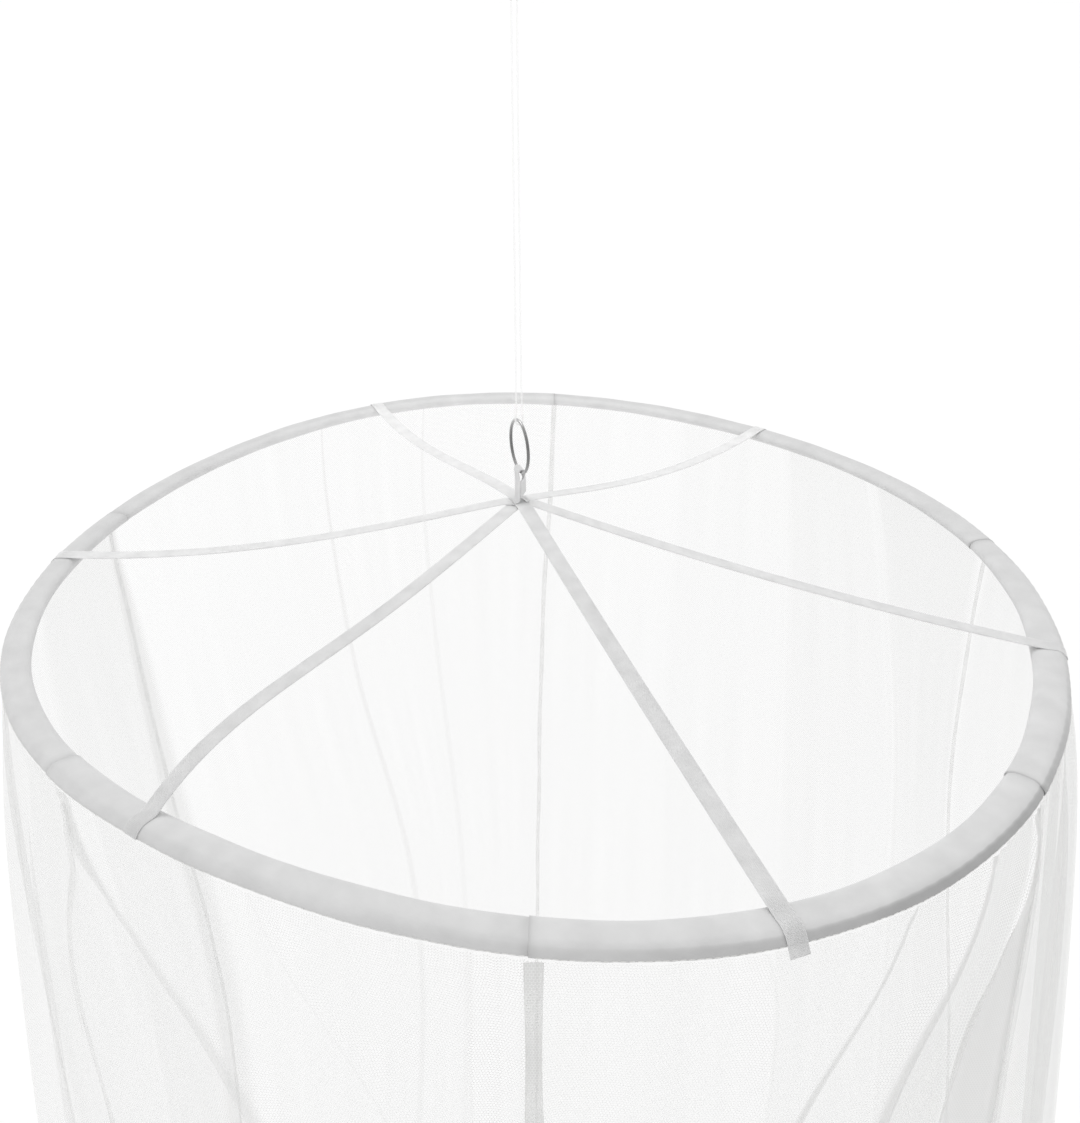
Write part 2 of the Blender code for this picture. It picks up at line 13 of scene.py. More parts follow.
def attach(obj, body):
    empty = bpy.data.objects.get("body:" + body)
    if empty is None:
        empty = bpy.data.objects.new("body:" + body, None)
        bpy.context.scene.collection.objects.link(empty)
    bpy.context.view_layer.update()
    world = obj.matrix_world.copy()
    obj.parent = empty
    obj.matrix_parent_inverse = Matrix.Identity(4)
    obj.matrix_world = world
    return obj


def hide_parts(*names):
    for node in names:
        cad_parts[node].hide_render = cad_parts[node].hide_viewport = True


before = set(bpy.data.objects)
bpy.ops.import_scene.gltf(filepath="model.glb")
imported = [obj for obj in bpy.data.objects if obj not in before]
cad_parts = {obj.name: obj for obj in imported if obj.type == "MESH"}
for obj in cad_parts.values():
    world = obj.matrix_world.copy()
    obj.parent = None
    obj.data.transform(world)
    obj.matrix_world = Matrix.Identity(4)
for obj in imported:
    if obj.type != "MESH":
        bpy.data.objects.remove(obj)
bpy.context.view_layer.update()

# ---- Hoop sleeve -------------------------------------------------------------------------------------
# Six lengths of plain-woven polyester cloth, each folded into a flat channel round the rod and closed by
# the row of stitches at its lower outer edge that also holds the net. One length is tucked into the next.

HANG = 0.430  # ceiling to the level of the hoop
HOOP_SHIFT = 0.015  # to the right of the hook
HOOP_RADIUS = 0.325
# (waves round the hoop, height in metres, azimuth of a crest)
OUT_OF_ROUND = ((2, 0.0043, -26.0), (3, 0.0051, 60.0), (4, 0.0058, 15.0))
OUT_OF_LEVEL = ((1, 0.0037, 180.0), (2, 0.0077, 107.0), (3, 0.0016, 35.0))
SLEEVE_WIDER_BY = 0.0009
SLEEVE_WIDEST_AT = -25.0
SLEEVE_HALF_WIDTH = 0.0103
SLEEVE_HALF_HEIGHT = 0.0040
SLEEVE_LAP = 0.025  # share by which a length is wider at its start and narrower at its end
SLEEVE_CLOTH = 0.0006
SLEEVE_ROUND = 0.052  # once round the flattened sleeve
SLEEVE_TUCK = 0.006  # length of each sleeve that is inside the next
SLEEVE_STATIONS = 2.6  # for each degree
# Degrees from a joint: where a sleeve starts, where its stitches start, and how far the joint shows
SLEEVE_FROM_JOINT = 0.06
STITCHES_FROM_JOINT = 0.6
JOINT_REACH = 0.5
JOINT_OPENS = 0.01  # share by which the start of a length is wider
JOINT_NARROWS = 0.02  # share by which its tucked end is narrower
# Sines along the sleeve: how many round the hoop, share of its height or width, phase in degrees
LIFT_SINES = ((17, 0.04, 0.0), (41, 0.03, 50.0))
WIDTH_SINES = ((23, 0.02, 20.0),)
PUCKERS = 230  # round the hoop
PUCKER_DEPTH = 0.00018
# Where on the sleeve's outline the puckers are: shares of the half width, and the lowest share of the height
PUCKERS_AT = 0.70
PUCKERS_SPREAD = 0.20
PUCKERS_ABOVE = -0.85
# name of the length, azimuth of its start and of its end
SLEEVES = (
    ("front_left", -142.8, -91.2),
    ("front_right", -91.2, -41.1),
    ("right", -41.1, 11.5),
    ("back_right", 11.5, 88.0),
    ("back_left", 88.0, 164.3),
    ("left", 164.3, 217.2),
)
# Once round the sleeve from its lower outer edge, up its slope and over the rod. Columns: share of the half
# width outwards, share of the half height upwards
SLEEVE_OUTLINE = (
    (0.88, -0.42),
    (0.82, 0.05),
    (0.65, 0.52),
    (0.42, 0.90),
    (0.12, 1.00),
    (-0.30, 1.00),
    (-0.68, 0.86),
    (-0.93, 0.46),
    (-1.00, -0.08),
    (-0.90, -0.60),
    (-0.55, -0.85),
    (0.00, -0.93),
    (0.50, -0.98),
    (0.76, -0.80),
)
STITCHES_AT = (0.885, -0.36)  # on that outline
STITCH_LENGTH = 0.0026
STITCH_PITCH = 0.0034
THREAD_RADIUS = 0.00022
SLEEVE_COLOUR = "#eeeeee"
SLEEVE_WEAVE = 0.0005
SLEEVE_PALE = 0.76
# Painted light and painted shade that change that: share, and azimuth and spread of it round the hoop
PAINTED_INNER_LIGHT = (0.25, 100.0, 55.0)
PAINTED_LOWER_SHADE = (0.40, -53.0, 29.0)
# Painted shade where one length is tucked into the next
PAINTED_JOINT_SHADE = 0.12
# Shares of the half width, inwards, between which the painted light on the inner side grows
INNER_FROM = 0.25
INNER_TO = 0.875
# The lower outer edge: what the shares outwards and upwards count for, and between which sums the painted
# shade grows
LOWER_WEIGHTS = (1.09, -0.385)
LOWER_FROM = 0.34
LOWER_TO = 0.60


def linear(hex_colour):
    """An sRGB hex colour as linear red, green and blue."""
    parts = [int(hex_colour[i : i + 2], 16) / 255 for i in (1, 3, 5)]
    return [p / 12.92 if p <= 0.04045 else ((p + 0.055) / 1.055) ** 2.4 for p in parts]


def add_node(tree, kind, settings=None, values=None, links=None):
    """A node with its settings, its sockets' values, and its sockets' links from other nodes' outputs."""
    made = tree.nodes.new("ShaderNode" + kind)
    for name, value in (settings or {}).items():
        setattr(made, name, value)
    for name, value in (values or {}).items():
        made.inputs[name].default_value = value
    for name, output in (links or {}).items():
        tree.links.new(output, made.inputs[name])
    return made


def start_material(name, hex_colour, roughness, metallic=0.0):
    """A new Principled material, its tree and its shader."""
    material = bpy.data.materials.new(name)
    material.use_nodes = True
    shader = material.node_tree.nodes["Principled BSDF"]
    shader.inputs["Base Color"].default_value = (*linear(hex_colour), 1.0)
    shader.inputs["Roughness"].default_value = roughness
    shader.inputs["Metallic"].default_value = metallic
    return material, material.node_tree, shader


def make_mesh(name, points, faces, material, uv=None, shades=None, smooth=True):
    """A piece at the origin. uv holds a pair in metres for each point, and shades one number for each: the
    net's layers of cloth, or another surface's tone with its painted light, shade and reflection."""
    mesh = bpy.data.meshes.new(name)
    points = np.asarray(points, np.float32).reshape(-1, 3)
    faces = np.asarray(faces, np.int32)
    mesh.vertices.add(len(points))
    mesh.vertices.foreach_set("co", points.ravel())
    mesh.loops.add(faces.size)
    mesh.loops.foreach_set("vertex_index", faces.ravel())
    mesh.polygons.add(len(faces))
    mesh.polygons.foreach_set("loop_start", np.arange(0, faces.size, faces.shape[1], dtype=np.int32))
    mesh.update(calc_edges=True)
    if uv is not None:
        layer = mesh.uv_layers.new(name="cloth")
        layer.data.foreach_set("uv", np.asarray(uv, np.float32).reshape(-1, 2)[faces.ravel()].ravel())
    if shades is not None:
        layer = mesh.attributes.new("shade", "FLOAT", "POINT")
        layer.data.foreach_set("value", np.asarray(shades, np.float32).ravel())
    if smooth:
        mesh.shade_smooth()
    mesh.materials.append(material)
    piece = bpy.data.objects.new(name, mesh)
    bpy.context.scene.collection.objects.link(piece)
    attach(piece, "root")
    return piece


def grid_faces(rows, columns, closed=False, first=0):
    """Four-sided faces of a grid of points, in rows, closed round its columns if asked."""
    above, here = np.meshgrid(np.arange(rows - 1), np.arange(columns - (not closed)), indexing="ij")
    above, below = above * columns, (above + 1) * columns
    after = (here + 1) % columns
    corners = (above + here, above + after, below + after, below + here)
    return first + np.stack([corner.ravel() for corner in corners], axis=1)


def smooth_loop(points, steps):
    """A smooth closed curve through points, by Catmull-Rom spans: each span's cubic leaves and arrives
    along the line from the point before to the point after."""
    points = np.asarray(points, float)
    t = (np.arange(steps) / steps)[None, :, None]
    before, start, end, after = (np.roll(points, k, axis=0)[:, None] for k in (1, 0, -1, -2))
    curve = 0.5 * (
        2 * start
        + (end - before) * t
        + (2 * before - 5 * start + 4 * end - after) * t**2
        + (3 * start - before - 3 * end + after) * t**3
    )
    return curve.reshape(-1, points.shape[1])


def waves(table, azimuth):
    """The sum of a table's waves: height times the cosine of count times the angle from the crest."""
    return sum(height * np.cos(np.radians(count * (azimuth - crest))) for count, height, crest in table)


def sines(table, azimuth):
    """The sum of a table's sines: share times the sine of count times the azimuth and a phase."""
    return sum(share * np.sin(np.radians(azimuth * count + phase)) for count, share, phase in table)


def bell(distance, spread):
    """One in the middle, falling off both ways by the square of the distance over the spread."""
    return np.exp(-((distance / spread) ** 2))


def smooth_step(value, start, end):
    """From nothing at the start to one at the end: three times the share squared less twice it cubed."""
    share = np.clip((value - start) / (end - start), 0, 1)
    return share * share * (3 - 2 * share)


def unit(vectors):
    """Vectors brought to length one."""
    return vectors / np.linalg.norm(vectors, axis=1, keepdims=True)


def circle(sides, first, second):
    """Directions round a circle at each place of a path, in the plane of two directions there."""
    angle = np.arange(sides) * 2 * math.pi / sides
    return np.cos(angle)[:, None] * first[..., None, :] + np.sin(angle)[:, None] * second[..., None, :]


def hoop_radius(azimuth):
    """The hoop's radius: its plain radius and the waves that put it out of round."""
    return HOOP_RADIUS + waves(OUT_OF_ROUND, azimuth)


def at(azimuth, radius, height):
    """Points at azimuths and radii round the hoop's middle, at heights above its level."""
    turn = np.radians(azimuth)
    x, y, z = np.broadcast_arrays(HOOP_SHIFT + radius * np.cos(turn), radius * np.sin(turn), height - HANG)
    return np.stack([x, y, z], axis=-1)


def plain_half_width(azimuth):
    """Half the sleeve's width: its plain half width and a slow wave round the hoop."""
    return SLEEVE_HALF_WIDTH + SLEEVE_WIDER_BY * np.cos(np.radians(azimuth - SLEEVE_WIDEST_AT))


def sleeve_places(azimuth, start, end, outline, cloth):
    """Points of a sleeve's wall: places on its outline carried round the hoop, drawn in by the cloth's
    thickness. The width tapers from the length's start to its end, so that the end goes inside the next
    start. Sines along the sleeve make its width and lift uneven, and pucker the slope above the stitches."""
    taper = 1 + SLEEVE_LAP * (1 - 2 * (azimuth - start) / (end - start))
    lift = 1 + sines(LIFT_SINES, azimuth)
    tuck = 1 - JOINT_NARROWS * np.clip((azimuth - end + JOINT_REACH) / JOINT_REACH, 0, 1)
    mouth = 1 + JOINT_OPENS * bell(azimuth - start, JOINT_REACH)
    half_width = (plain_half_width(azimuth) * taper * mouth - cloth) * tuck
    half_width = half_width * (1 + sines(WIDTH_SINES, azimuth))
    half_height = (SLEEVE_HALF_HEIGHT * mouth - cloth) * lift * tuck
    slope = bell(outline[:, 0] - PUCKERS_AT, PUCKERS_SPREAD) * (outline[:, 1] > PUCKERS_ABOVE)
    uneven = 20 * np.sin(np.radians(azimuth * 9))
    pucker = PUCKER_DEPTH * np.sin(np.radians(azimuth * PUCKERS + uneven))
    across = outline[:, 0] * half_width + slope * pucker
    height = waves(OUT_OF_LEVEL, azimuth) + outline[:, 1] * half_height
    return at(azimuth, hoop_radius(azimuth) + across, height)


def sleeve_tone_and_painted_light(azimuth, outline):
    """How pale the sleeve is at places on its outline, with painted light and painted shade. Painted light
    brightens its inner side at the back, a bell round the hoop, as if light behind came through it. Painted
    shade darkens its lower outer edge at the right front, another bell, and where one length is tucked into
    the next and doubled."""
    painted_light, painted_light_at, painted_light_spread = PAINTED_INNER_LIGHT
    painted_shade, painted_shade_at, painted_shade_spread = PAINTED_LOWER_SHADE
    inner = np.clip((-outline[:, 0] - INNER_FROM) / (INNER_TO - INNER_FROM), 0, 1)
    inner = inner * bell(azimuth - painted_light_at, painted_light_spread)
    lower_shade_mask = smooth_step(outline @ LOWER_WEIGHTS, LOWER_FROM, LOWER_TO)
    lower_shade_mask = lower_shade_mask * bell(azimuth - painted_shade_at, painted_shade_spread)
    from_joint = np.min([abs((azimuth - start + 180) % 360 - 180) for _, start, _ in SLEEVES], axis=0)
    joint_shade_mask = bell(from_joint, JOINT_REACH)
    return SLEEVE_PALE * (1 + painted_light * inner - painted_shade * lower_shade_mask) * (1 - PAINTED_JOINT_SHADE * joint_shade_mask)


def bar_mesh(name, starts, ends, radius, material):
    """Short round stitches, one from each start to its end, with narrowed ends, all in one piece. Each is
    six-sided: a frame across its direction is found by crossing it with a slant and again with itself."""
    way = ends - starts
    slanted = unit(np.cross(unit(way), (0.3, 0.2, 1.0)))
    ring = circle(6, slanted, np.cross(unit(way), slanted))
    stations = np.array([0.0, 0.14, 0.86, 1.0])
    widths = np.array([0.45, 1.0, 1.0, 0.45]) * radius
    points = starts[:, None, None] + stations[None, :, None, None] * way[:, None, None]
    points = points + widths[None, :, None, None] * ring[:, None]
    caps = np.array([(0, 1, 2, 3), (0, 3, 4, 5)])
    one = np.concatenate([grid_faces(4, 6, True), caps[:, ::-1], caps + 3 * 6])
    faces = (one[None] + 4 * 6 * np.arange(len(starts))[:, None, None]).reshape(-1, 4)
    return make_mesh(name, points, faces, material)


# Plain-woven polyester: matt, a little sheen, threads 0.25 mm apart that only show close by. Its bump is
# drawn at 0.5 mm, as coarse as it needs to show.
sleeve_cloth, tree, shader = start_material("woven_polyester_sleeve", SLEEVE_COLOUR, 0.85)
shader.inputs["Sheen Weight"].default_value = 0.15
place = add_node(tree, "UVMap", {"uv_map": "cloth"})
threads = add_node(
    tree,
    "Mapping",
    values={"Scale": (1 / SLEEVE_WEAVE, 1 / SLEEVE_WEAVE, 1)},
    links={"Vector": place.outputs["UV"]},
)
weave = add_node(tree, "TexChecker", values={"Scale": 1.0}, links={"Vector": threads.outputs["Vector"]})
cloudy = add_node(
    tree, "TexNoise", values={"Scale": 60.0, "Detail": 3.0}, links={"Vector": place.outputs["UV"]}
)
tone = add_node(
    tree,
    "MapRange",
    values={"From Min": 0.3, "From Max": 0.7, "To Min": 0.94, "To Max": 1.04},
    links={"Value": cloudy.outputs["Fac"]},
)
# Each point's tone with its painted light and painted shade, which the colour is multiplied by
shade = add_node(tree, "Attribute", {"attribute_name": "shade"})
shaded = add_node(
    tree, "Math", {"operation": "MULTIPLY"}, links={0: tone.outputs["Result"], 1: shade.outputs["Fac"]}
)
# Sockets 6 and 7 are the two colours.
colour = add_node(
    tree,
    "Mix",
    {"data_type": "RGBA", "blend_type": "MULTIPLY"},
    {"Factor": 1.0, 7: (*linear(SLEEVE_COLOUR), 1.0)},
    {6: shaded.outputs[0]},
)
tree.links.new(colour.outputs[2], shader.inputs["Base Color"])
bump = add_node(
    tree,
    "Bump",
    values={"Strength": 0.35, "Distance": 0.0002},
    links={"Height": weave.outputs["Fac"]},
)
tree.links.new(bump.outputs["Normal"], shader.inputs["Normal"])

# Sewing thread: white polyester, with a soft shine.
thread_finish, tree, shader = start_material("polyester_sewing_thread", "#dededc", 0.5)
place = add_node(tree, "TexCoord")
twist = add_node(tree, "TexNoise", values={"Scale": 2500.0}, links={"Vector": place.outputs["Object"]})
bump = add_node(
    tree, "Bump", values={"Strength": 0.3, "Distance": 0.0001}, links={"Height": twist.outputs["Fac"]}
)
tree.links.new(bump.outputs["Normal"], shader.inputs["Normal"])

for name, start, end in SLEEVES:
    outline = smooth_loop(SLEEVE_OUTLINE[::-1], 3)
    tucked_end = end + math.degrees(SLEEVE_TUCK / HOOP_RADIUS)
    stations = round((end - start) * SLEEVE_STATIONS)
    azimuth = np.linspace(start + SLEEVE_FROM_JOINT, tucked_end, stations)[:, None]
    outer = sleeve_places(azimuth, start, end, outline, 0.0)
    inner = sleeve_places(azimuth, start, end, outline, SLEEVE_CLOTH)
    around = np.arange(len(outline)) * SLEEVE_ROUND / len(outline)
    uv = np.stack(np.broadcast_arrays(np.radians(azimuth) * HOOP_RADIUS, around), axis=-1)
    rows, columns, _ = outer.shape
    other = rows * columns
    here = np.arange(columns)
    after = np.roll(here, -1)
    last = (rows - 1) * columns
    rims = np.concatenate(
        [
            np.stack([here, here + other, after + other, after], axis=1),
            np.stack([last + here, last + after, last + after + other, last + here + other], axis=1),
        ]
    )
    walls = [grid_faces(rows, columns, True), grid_faces(rows, columns, True, other)[:, ::-1]]
    sleeve = make_mesh(
        f"cloth_sleeve_{name}",
        np.stack([outer, inner]),
        np.concatenate([*walls, rims]),
        sleeve_cloth,
        np.stack([uv, uv]),
        np.tile(sleeve_tone_and_painted_light(azimuth, outline).ravel(), 2),
    )
    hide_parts(f"sleeve_{name}")
    # One row of lockstitch along the lower edge, each stitch half sunk in the cloth
    pitch = math.degrees(STITCH_PITCH / HOOP_RADIUS)
    begins = np.arange(start + STITCHES_FROM_JOINT, end - STITCHES_FROM_JOINT, pitch)[:, None]
    stops = begins + math.degrees(STITCH_LENGTH / HOOP_RADIUS)
    row = np.array([STITCHES_AT])
    from_points = sleeve_places(begins, start, end, row, 0.0)[:, 0]
    to_points = sleeve_places(stops, start, end, row, 0.0)[:, 0]
    bar_mesh(f"stitches_sleeve_{name}", from_points, to_points, THREAD_RADIUS, thread_finish)

# The rod inside the sleeve is drawn fibreglass: satin, faintly streaked along its length.
rod_finish, tree, shader = start_material("drawn_fibreglass", "#dcdcd6", 0.4)
place = add_node(tree, "TexCoord")
streaks = add_node(tree, "TexNoise", values={"Scale": 900.0}, links={"Vector": place.outputs["Object"]})
bump = add_node(
    tree, "Bump", values={"Strength": 0.2, "Distance": 0.0001}, links={"Height": streaks.outputs["Fac"]}
)
tree.links.new(bump.outputs["Normal"], shader.inputs["Normal"])
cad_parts["hoop_rod"].material_slots[0].material = rod_finish

# ---- Net ---------------------------------------------------------------------------------------------
# Six flared panels of warp-knitted polyester mosquito net, joined by seams and sewn under the sleeve.
# The net hangs in soft flutes from the seams, and its hem is turned up inside and sewn.

DROP = 2.000
NET_TOP = 0.004  # below the hoop's level
NET_INSET = 0.0028
FLARE = 0.125
FLARE_UNEVEN = ((1, 0.012, -15.0),)
FLARE_SPRING = 0.011
FLARE_SPRING_DEPTH = 0.050
FOLD_GROWS_WITHIN = 0.060
FOLD_AT_HEM = 2.2
FOLD_WIDER_AT_HEM = 4.4
FOLD_HOLLOW = 0.85
HEM_HEIGHT = 0.022
HEM_INSIDE = 0.0014  # of the net, for the turned-up cloth
MESH_PITCH = 0.0015  # from one hole to the next
# A crease: the share of its width that it has at the top, the depth in which it opens, its width at the hem
CREASE_AT_TOP = 0.35
CREASE_OPENS_WITHIN = 0.10
CREASE_WIDER_AT_HEM = 5.0
# Of the layers that creases and gathers add: the share that stays, and the depth in which the rest fades
LAYERS_STAY = 0.4
LAYERS_FADE_WITHIN = 0.6
GATHER_EDGES = 14  # a span's gathers come on within a fourteenth of its width from each fold
UNEVEN_LAYERS = 0.15
LAYER_COVER = 0.125  # of what is behind it, for each further layer
# The fuller cloth at the back: azimuth, layers at the top, layers that come further down, and within what
BACK_AT = 100.0
BACK_LAYERS = 0.45
BACK_LAYERS_BELOW = 0.5
BACK_WITHIN = 0.3
# Height, and the depth in which puckers fade and flutes grow
NET_PUCKER = (0.0006, 0.016)
NET_FLUTE = (0.0013, 0.08)
FOLD_STATIONS = (0.0, 0.03, 0.10, 0.30, 0.65, DROP)
# The lines down the net, in order round it. Columns: name, azimuths at the depths of FOLD_STATIONS,
# height, half width, layers of cloth that its crease adds, half width of the crease, layers more that
# the net has from this fold to the next, where it is gathered or lapped
FOLDS = (
    ("seam_left_front", (-142.8, -136.8, -137.2, -127.2, -123.0, -128.0), 0.009, 0.018, 0.9, 0.0085, 0.7),
    ("drag_left_front", (-141.0, -134.5, -118.5, -103.0, -106.0, -110.0), 0.009, 0.015, 3.2, 0.0072, 0.0),
    ("crease_left_front", (-117.0, -111.5, -101.9, -97.5, -99.5, -101.0), 0.007, 0.009, 1.0, 0.0012, 0.0),
    ("crease_front", (-95.4, -95.3, -95.2, -93.5, -93.5, -94.0), 0.006, 0.008, 1.0, 0.0010, 0.0),
    ("seam_front", (-91.2, -91.2, -91.2, -90.0, -89.0, -88.0), 0.008, 0.010, 0.4, 0.0060, 0.0),
    ("crease_right_front", (-74.6, -73.5, -74.6, -80.0, -81.0, -80.0), 0.006, 0.008, 1.0, 0.0012, 0.4),
    ("drag_right_front", (-59.5, -64.5, -72.3, -76.5, -76.0, -74.0), 0.008, 0.009, 5.5, 0.0028, 0.8),
    ("flute_right_front", (-49.8, -54.3, -63.7, -71.0, -69.0, -66.0), 0.010, 0.010, 6.0, 0.0050, 2.8),
    ("lap_right_front", (-43.0, -46.4, -56.8, -63.5, -62.0, -59.0), 0.010, 0.010, 0.2, 0.0020, 5.7),
    ("seam_right_front", (-41.1, -44.5, -49.3, -53.5, -53.5, -51.0), 0.014, 0.013, 0.3, 0.0060, 2.6),
    ("flute_right", (-33.0, -34.0, -36.0, -40.0, -40.0, -37.0), 0.012, 0.012, 0.5, 0.0080, 2.3),
    ("flute_right_side", (-22.0, -22.0, -23.0, -25.0, -25.0, -23.0), 0.010, 0.011, 0.4, 0.0080, 2.4),
    ("flute_right_edge", (-8.0, -8.0, -8.0, -8.0, -7.0, -6.0), 0.013, 0.014, 0.3, 0.0080, 1.8),
    ("seam_right_back", (11.5, 14.9, 17.6, 19.7, 15.8, 16.5), 0.012, 0.014, 0.4, 0.0060, 2.1),
    ("crease_right_back", (36.0, 35.5, 33.8, 30.4, 30.0, 33.0), 0.008, 0.012, 0.9, 0.0040, 1.3),
    ("crease_back_right", (50.5, 50.4, 50.2, 49.8, 49.5, 50.0), 0.007, 0.012, 0.5, 0.0040, 0.5),
    ("flute_back_right", (68.0, 68.0, 68.5, 70.0, 70.0, 70.0), 0.010, 0.016, 0.1, 0.0060, 0.0),
    ("seam_back", (88.0, 88.3, 88.8, 90.2, 91.0, 91.4), 0.010, 0.012, 0.2, 0.0060, 0.0),
    ("crease_back_left", (109.0, 109.1, 109.2, 107.5, 104.0, 107.0), 0.008, 0.012, 1.2, 0.0015, 0.0),
    ("drag_back_left", (126.1, 125.7, 124.8, 121.2, 112.8, 118.0), 0.009, 0.012, 2.0, 0.0015, 0.1),
    ("flute_back_left", (146.0, 145.5, 144.0, 138.0, 131.0, 135.0), 0.012, 0.016, 0.1, 0.0060, 0.1),
    ("seam_left_back", (164.5, 163.0, 160.5, 156.0, 148.8, 151.0), 0.009, 0.016, 3.2, 0.0075, 1.9),
    ("crease_left", (179.0, 179.0, 177.5, 170.0, 163.0, 168.0), 0.010, 0.012, 0.8, 0.0040, 1.2),
    ("flute_left_side", (192.0, 192.0, 192.0, 188.0, 182.0, 187.0), 0.010, 0.013, 0.9, 0.0080, 1.0),
    ("flute_left", (203.0, 205.0, 206.0, 205.0, 203.0, 205.0), 0.012, 0.012, 0.4, 0.0060, 0.5),
    ("flute_left_edge", (210.5, 214.0, 215.5, 219.0, 220.0, 220.0), 0.009, 0.014, 0.1, 0.0060, 1.1),
)
SEAMS = [i for i, fold in enumerate(FOLDS) if fold[0].startswith("seam")]
PANELS = ("front_left", "front_right", "right", "back_right", "back_left", "left")
# Five columns of that table, with the first fold again at their end
FOLD_HEIGHTS, FOLD_WIDTHS, CREASE_LAYERS, CREASE_WIDTHS, SPAN_LAYERS = np.array(
    [fold[2:] for fold in FOLDS + FOLDS[:1]]
).T


def fold_azimuths(depth):
    """Each fold's azimuth at each depth, one column for each fold and then the first again: smooth cubic
    spans through the stations' values, even in the root of the depth."""
    x, here = np.sqrt(np.array(FOLD_STATIONS)), np.sqrt(np.maximum(depth, 0.0))
    values = np.array([fold[1] for fold in FOLDS])
    slope = np.gradient(values, x, axis=1)
    i = np.clip(np.searchsorted(x, here, side="right") - 1, 0, len(x) - 2)
    span = (x[i + 1] - x[i])[:, None]
    t = ((here - x[i]) / span[:, 0])[:, None]
    start, end = values.T[i], values.T[i + 1]
    leaving, arriving = slope.T[i], slope.T[i + 1]
    azimuths = (
        start * (1 + 2 * t) * (1 - t) ** 2
        + span * leaving * t * (1 - t) ** 2
        + end * t * t * (3 - 2 * t)
        + span * arriving * t * t * (t - 1)
    )
    return np.concatenate([azimuths, azimuths[:, :1] + 360], axis=1)


def settled(depth, within):
    """From nothing at the top towards one below: one less the exponential of minus depth over within."""
    return 1 - np.exp(-depth / within)


def plain_wall(azimuth, depth):
    """The net's radius without its folds: the hoop's, whose waves die out towards the hem, and a cone with
    a spring near the top."""
    hoop = HOOP_RADIUS + waves(OUT_OF_ROUND, azimuth) * (1 - depth / DROP) + plain_half_width(azimuth)
    cone = (FLARE + waves(FLARE_UNEVEN, azimuth)) * depth
    return hoop - NET_INSET + cone + FLARE_SPRING * settled(depth, FLARE_SPRING_DEPTH)


def net_azimuths(number, share, depth):
    """Azimuths of the fold before each column, of the fold after it, and of the column between them."""
    folds = fold_azimuths(depth)
    before, after = folds[:, number], folds[:, number + 1]
    return before, after, before + (after - before) * share


def net_wall(number, share, depth):
    """The net at folds, shares of the way to the next fold, and depths: azimuth, radius and height. A ridge
    stands on the plain wall at each fold, a bell across it that grows with depth, and the cloth draws in
    between. Small puckers under the sleeve and slow flutes between the folds are sines along the wall."""
    before, after, azimuth = net_azimuths(number, share, depth)
    depth = depth[:, None]
    down = depth / DROP
    plain = plain_wall(azimuth, depth)
    grown = settled(depth, FOLD_GROWS_WITHIN) * (1 + (FOLD_AT_HEM - 1) * down)
    wider = 1 + (FOLD_WIDER_AT_HEM - 1) * down
    between = FOLD_HEIGHTS[number] + (FOLD_HEIGHTS[number + 1] - FOLD_HEIGHTS[number]) * share
    radius = plain - FOLD_HOLLOW * grown * between
    for fold, which in ((before, number), (after, number + 1)):
        away = np.radians(azimuth - fold) * plain
        radius = radius + grown * FOLD_HEIGHTS[which] * bell(away, FOLD_WIDTHS[which] * wider)
    arc = np.radians(azimuth) * HOOP_RADIUS
    height, fades_within = NET_PUCKER
    pucker = height * np.exp(-depth / fades_within) * np.sin(arc / 0.0011 + 1.5 * np.sin(arc / 0.013))
    height, grows_within = NET_FLUTE
    flute = height * settled(depth, grows_within) * (1 + 2 * down) * np.sin(math.pi * share)
    flute = flute * np.sin(arc / 0.0062 + 2.2 * np.sin(arc / 0.041))
    return azimuth, radius + pucker + flute, waves(OUT_OF_LEVEL, azimuth) * (1 - down) - depth


def net_layers(number, share, depth):
    """Layers of cloth at the same places. A crease adds layers in a flat-topped bell, a gathered span adds
    them all over, and slow sines between the folds make the gathers uneven. At the back the net hangs
    fuller, by a raised cosine round the hoop."""
    before, after, azimuth = net_azimuths(number, share, depth)
    depth = depth[:, None]
    plain = plain_wall(azimuth, depth)
    opened = CREASE_AT_TOP + (1 - CREASE_AT_TOP) * settled(depth, CREASE_OPENS_WITHIN)
    opened = opened * (1 + (CREASE_WIDER_AT_HEM - 1) * depth / DROP)
    lasting = LAYERS_STAY + (1 - LAYERS_STAY) * np.exp(-depth / LAYERS_FADE_WITHIN)
    back = (0.5 + 0.5 * np.cos(np.radians(azimuth - BACK_AT))) ** 2
    layers = 1.0 + back * (BACK_LAYERS + BACK_LAYERS_BELOW * settled(depth, BACK_WITHIN))
    for fold, which in ((before, number), (after, number + 1)):
        away = np.radians(azimuth - fold) * plain
        crease = np.exp(-((away / (CREASE_WIDTHS[which] * opened)) ** 4))
        layers = layers + CREASE_LAYERS[which] * crease * lasting
    gathered = np.clip(np.minimum(share, 1 - share) * GATHER_EDGES, 0, 1)
    layers = layers + SPAN_LAYERS[number] * gathered * lasting
    streak = np.sin(2 * math.pi * (2.3 * share + 0.37 * number**2))
    streak = streak + np.sin(2 * math.pi * (5.3 * share + 0.61 * number**2))
    fading = 0.6 + 0.4 * np.sin(depth * 19 + number * 1.7)
    return layers + UNEVEN_LAYERS * streak * np.sin(math.pi * share) * fading


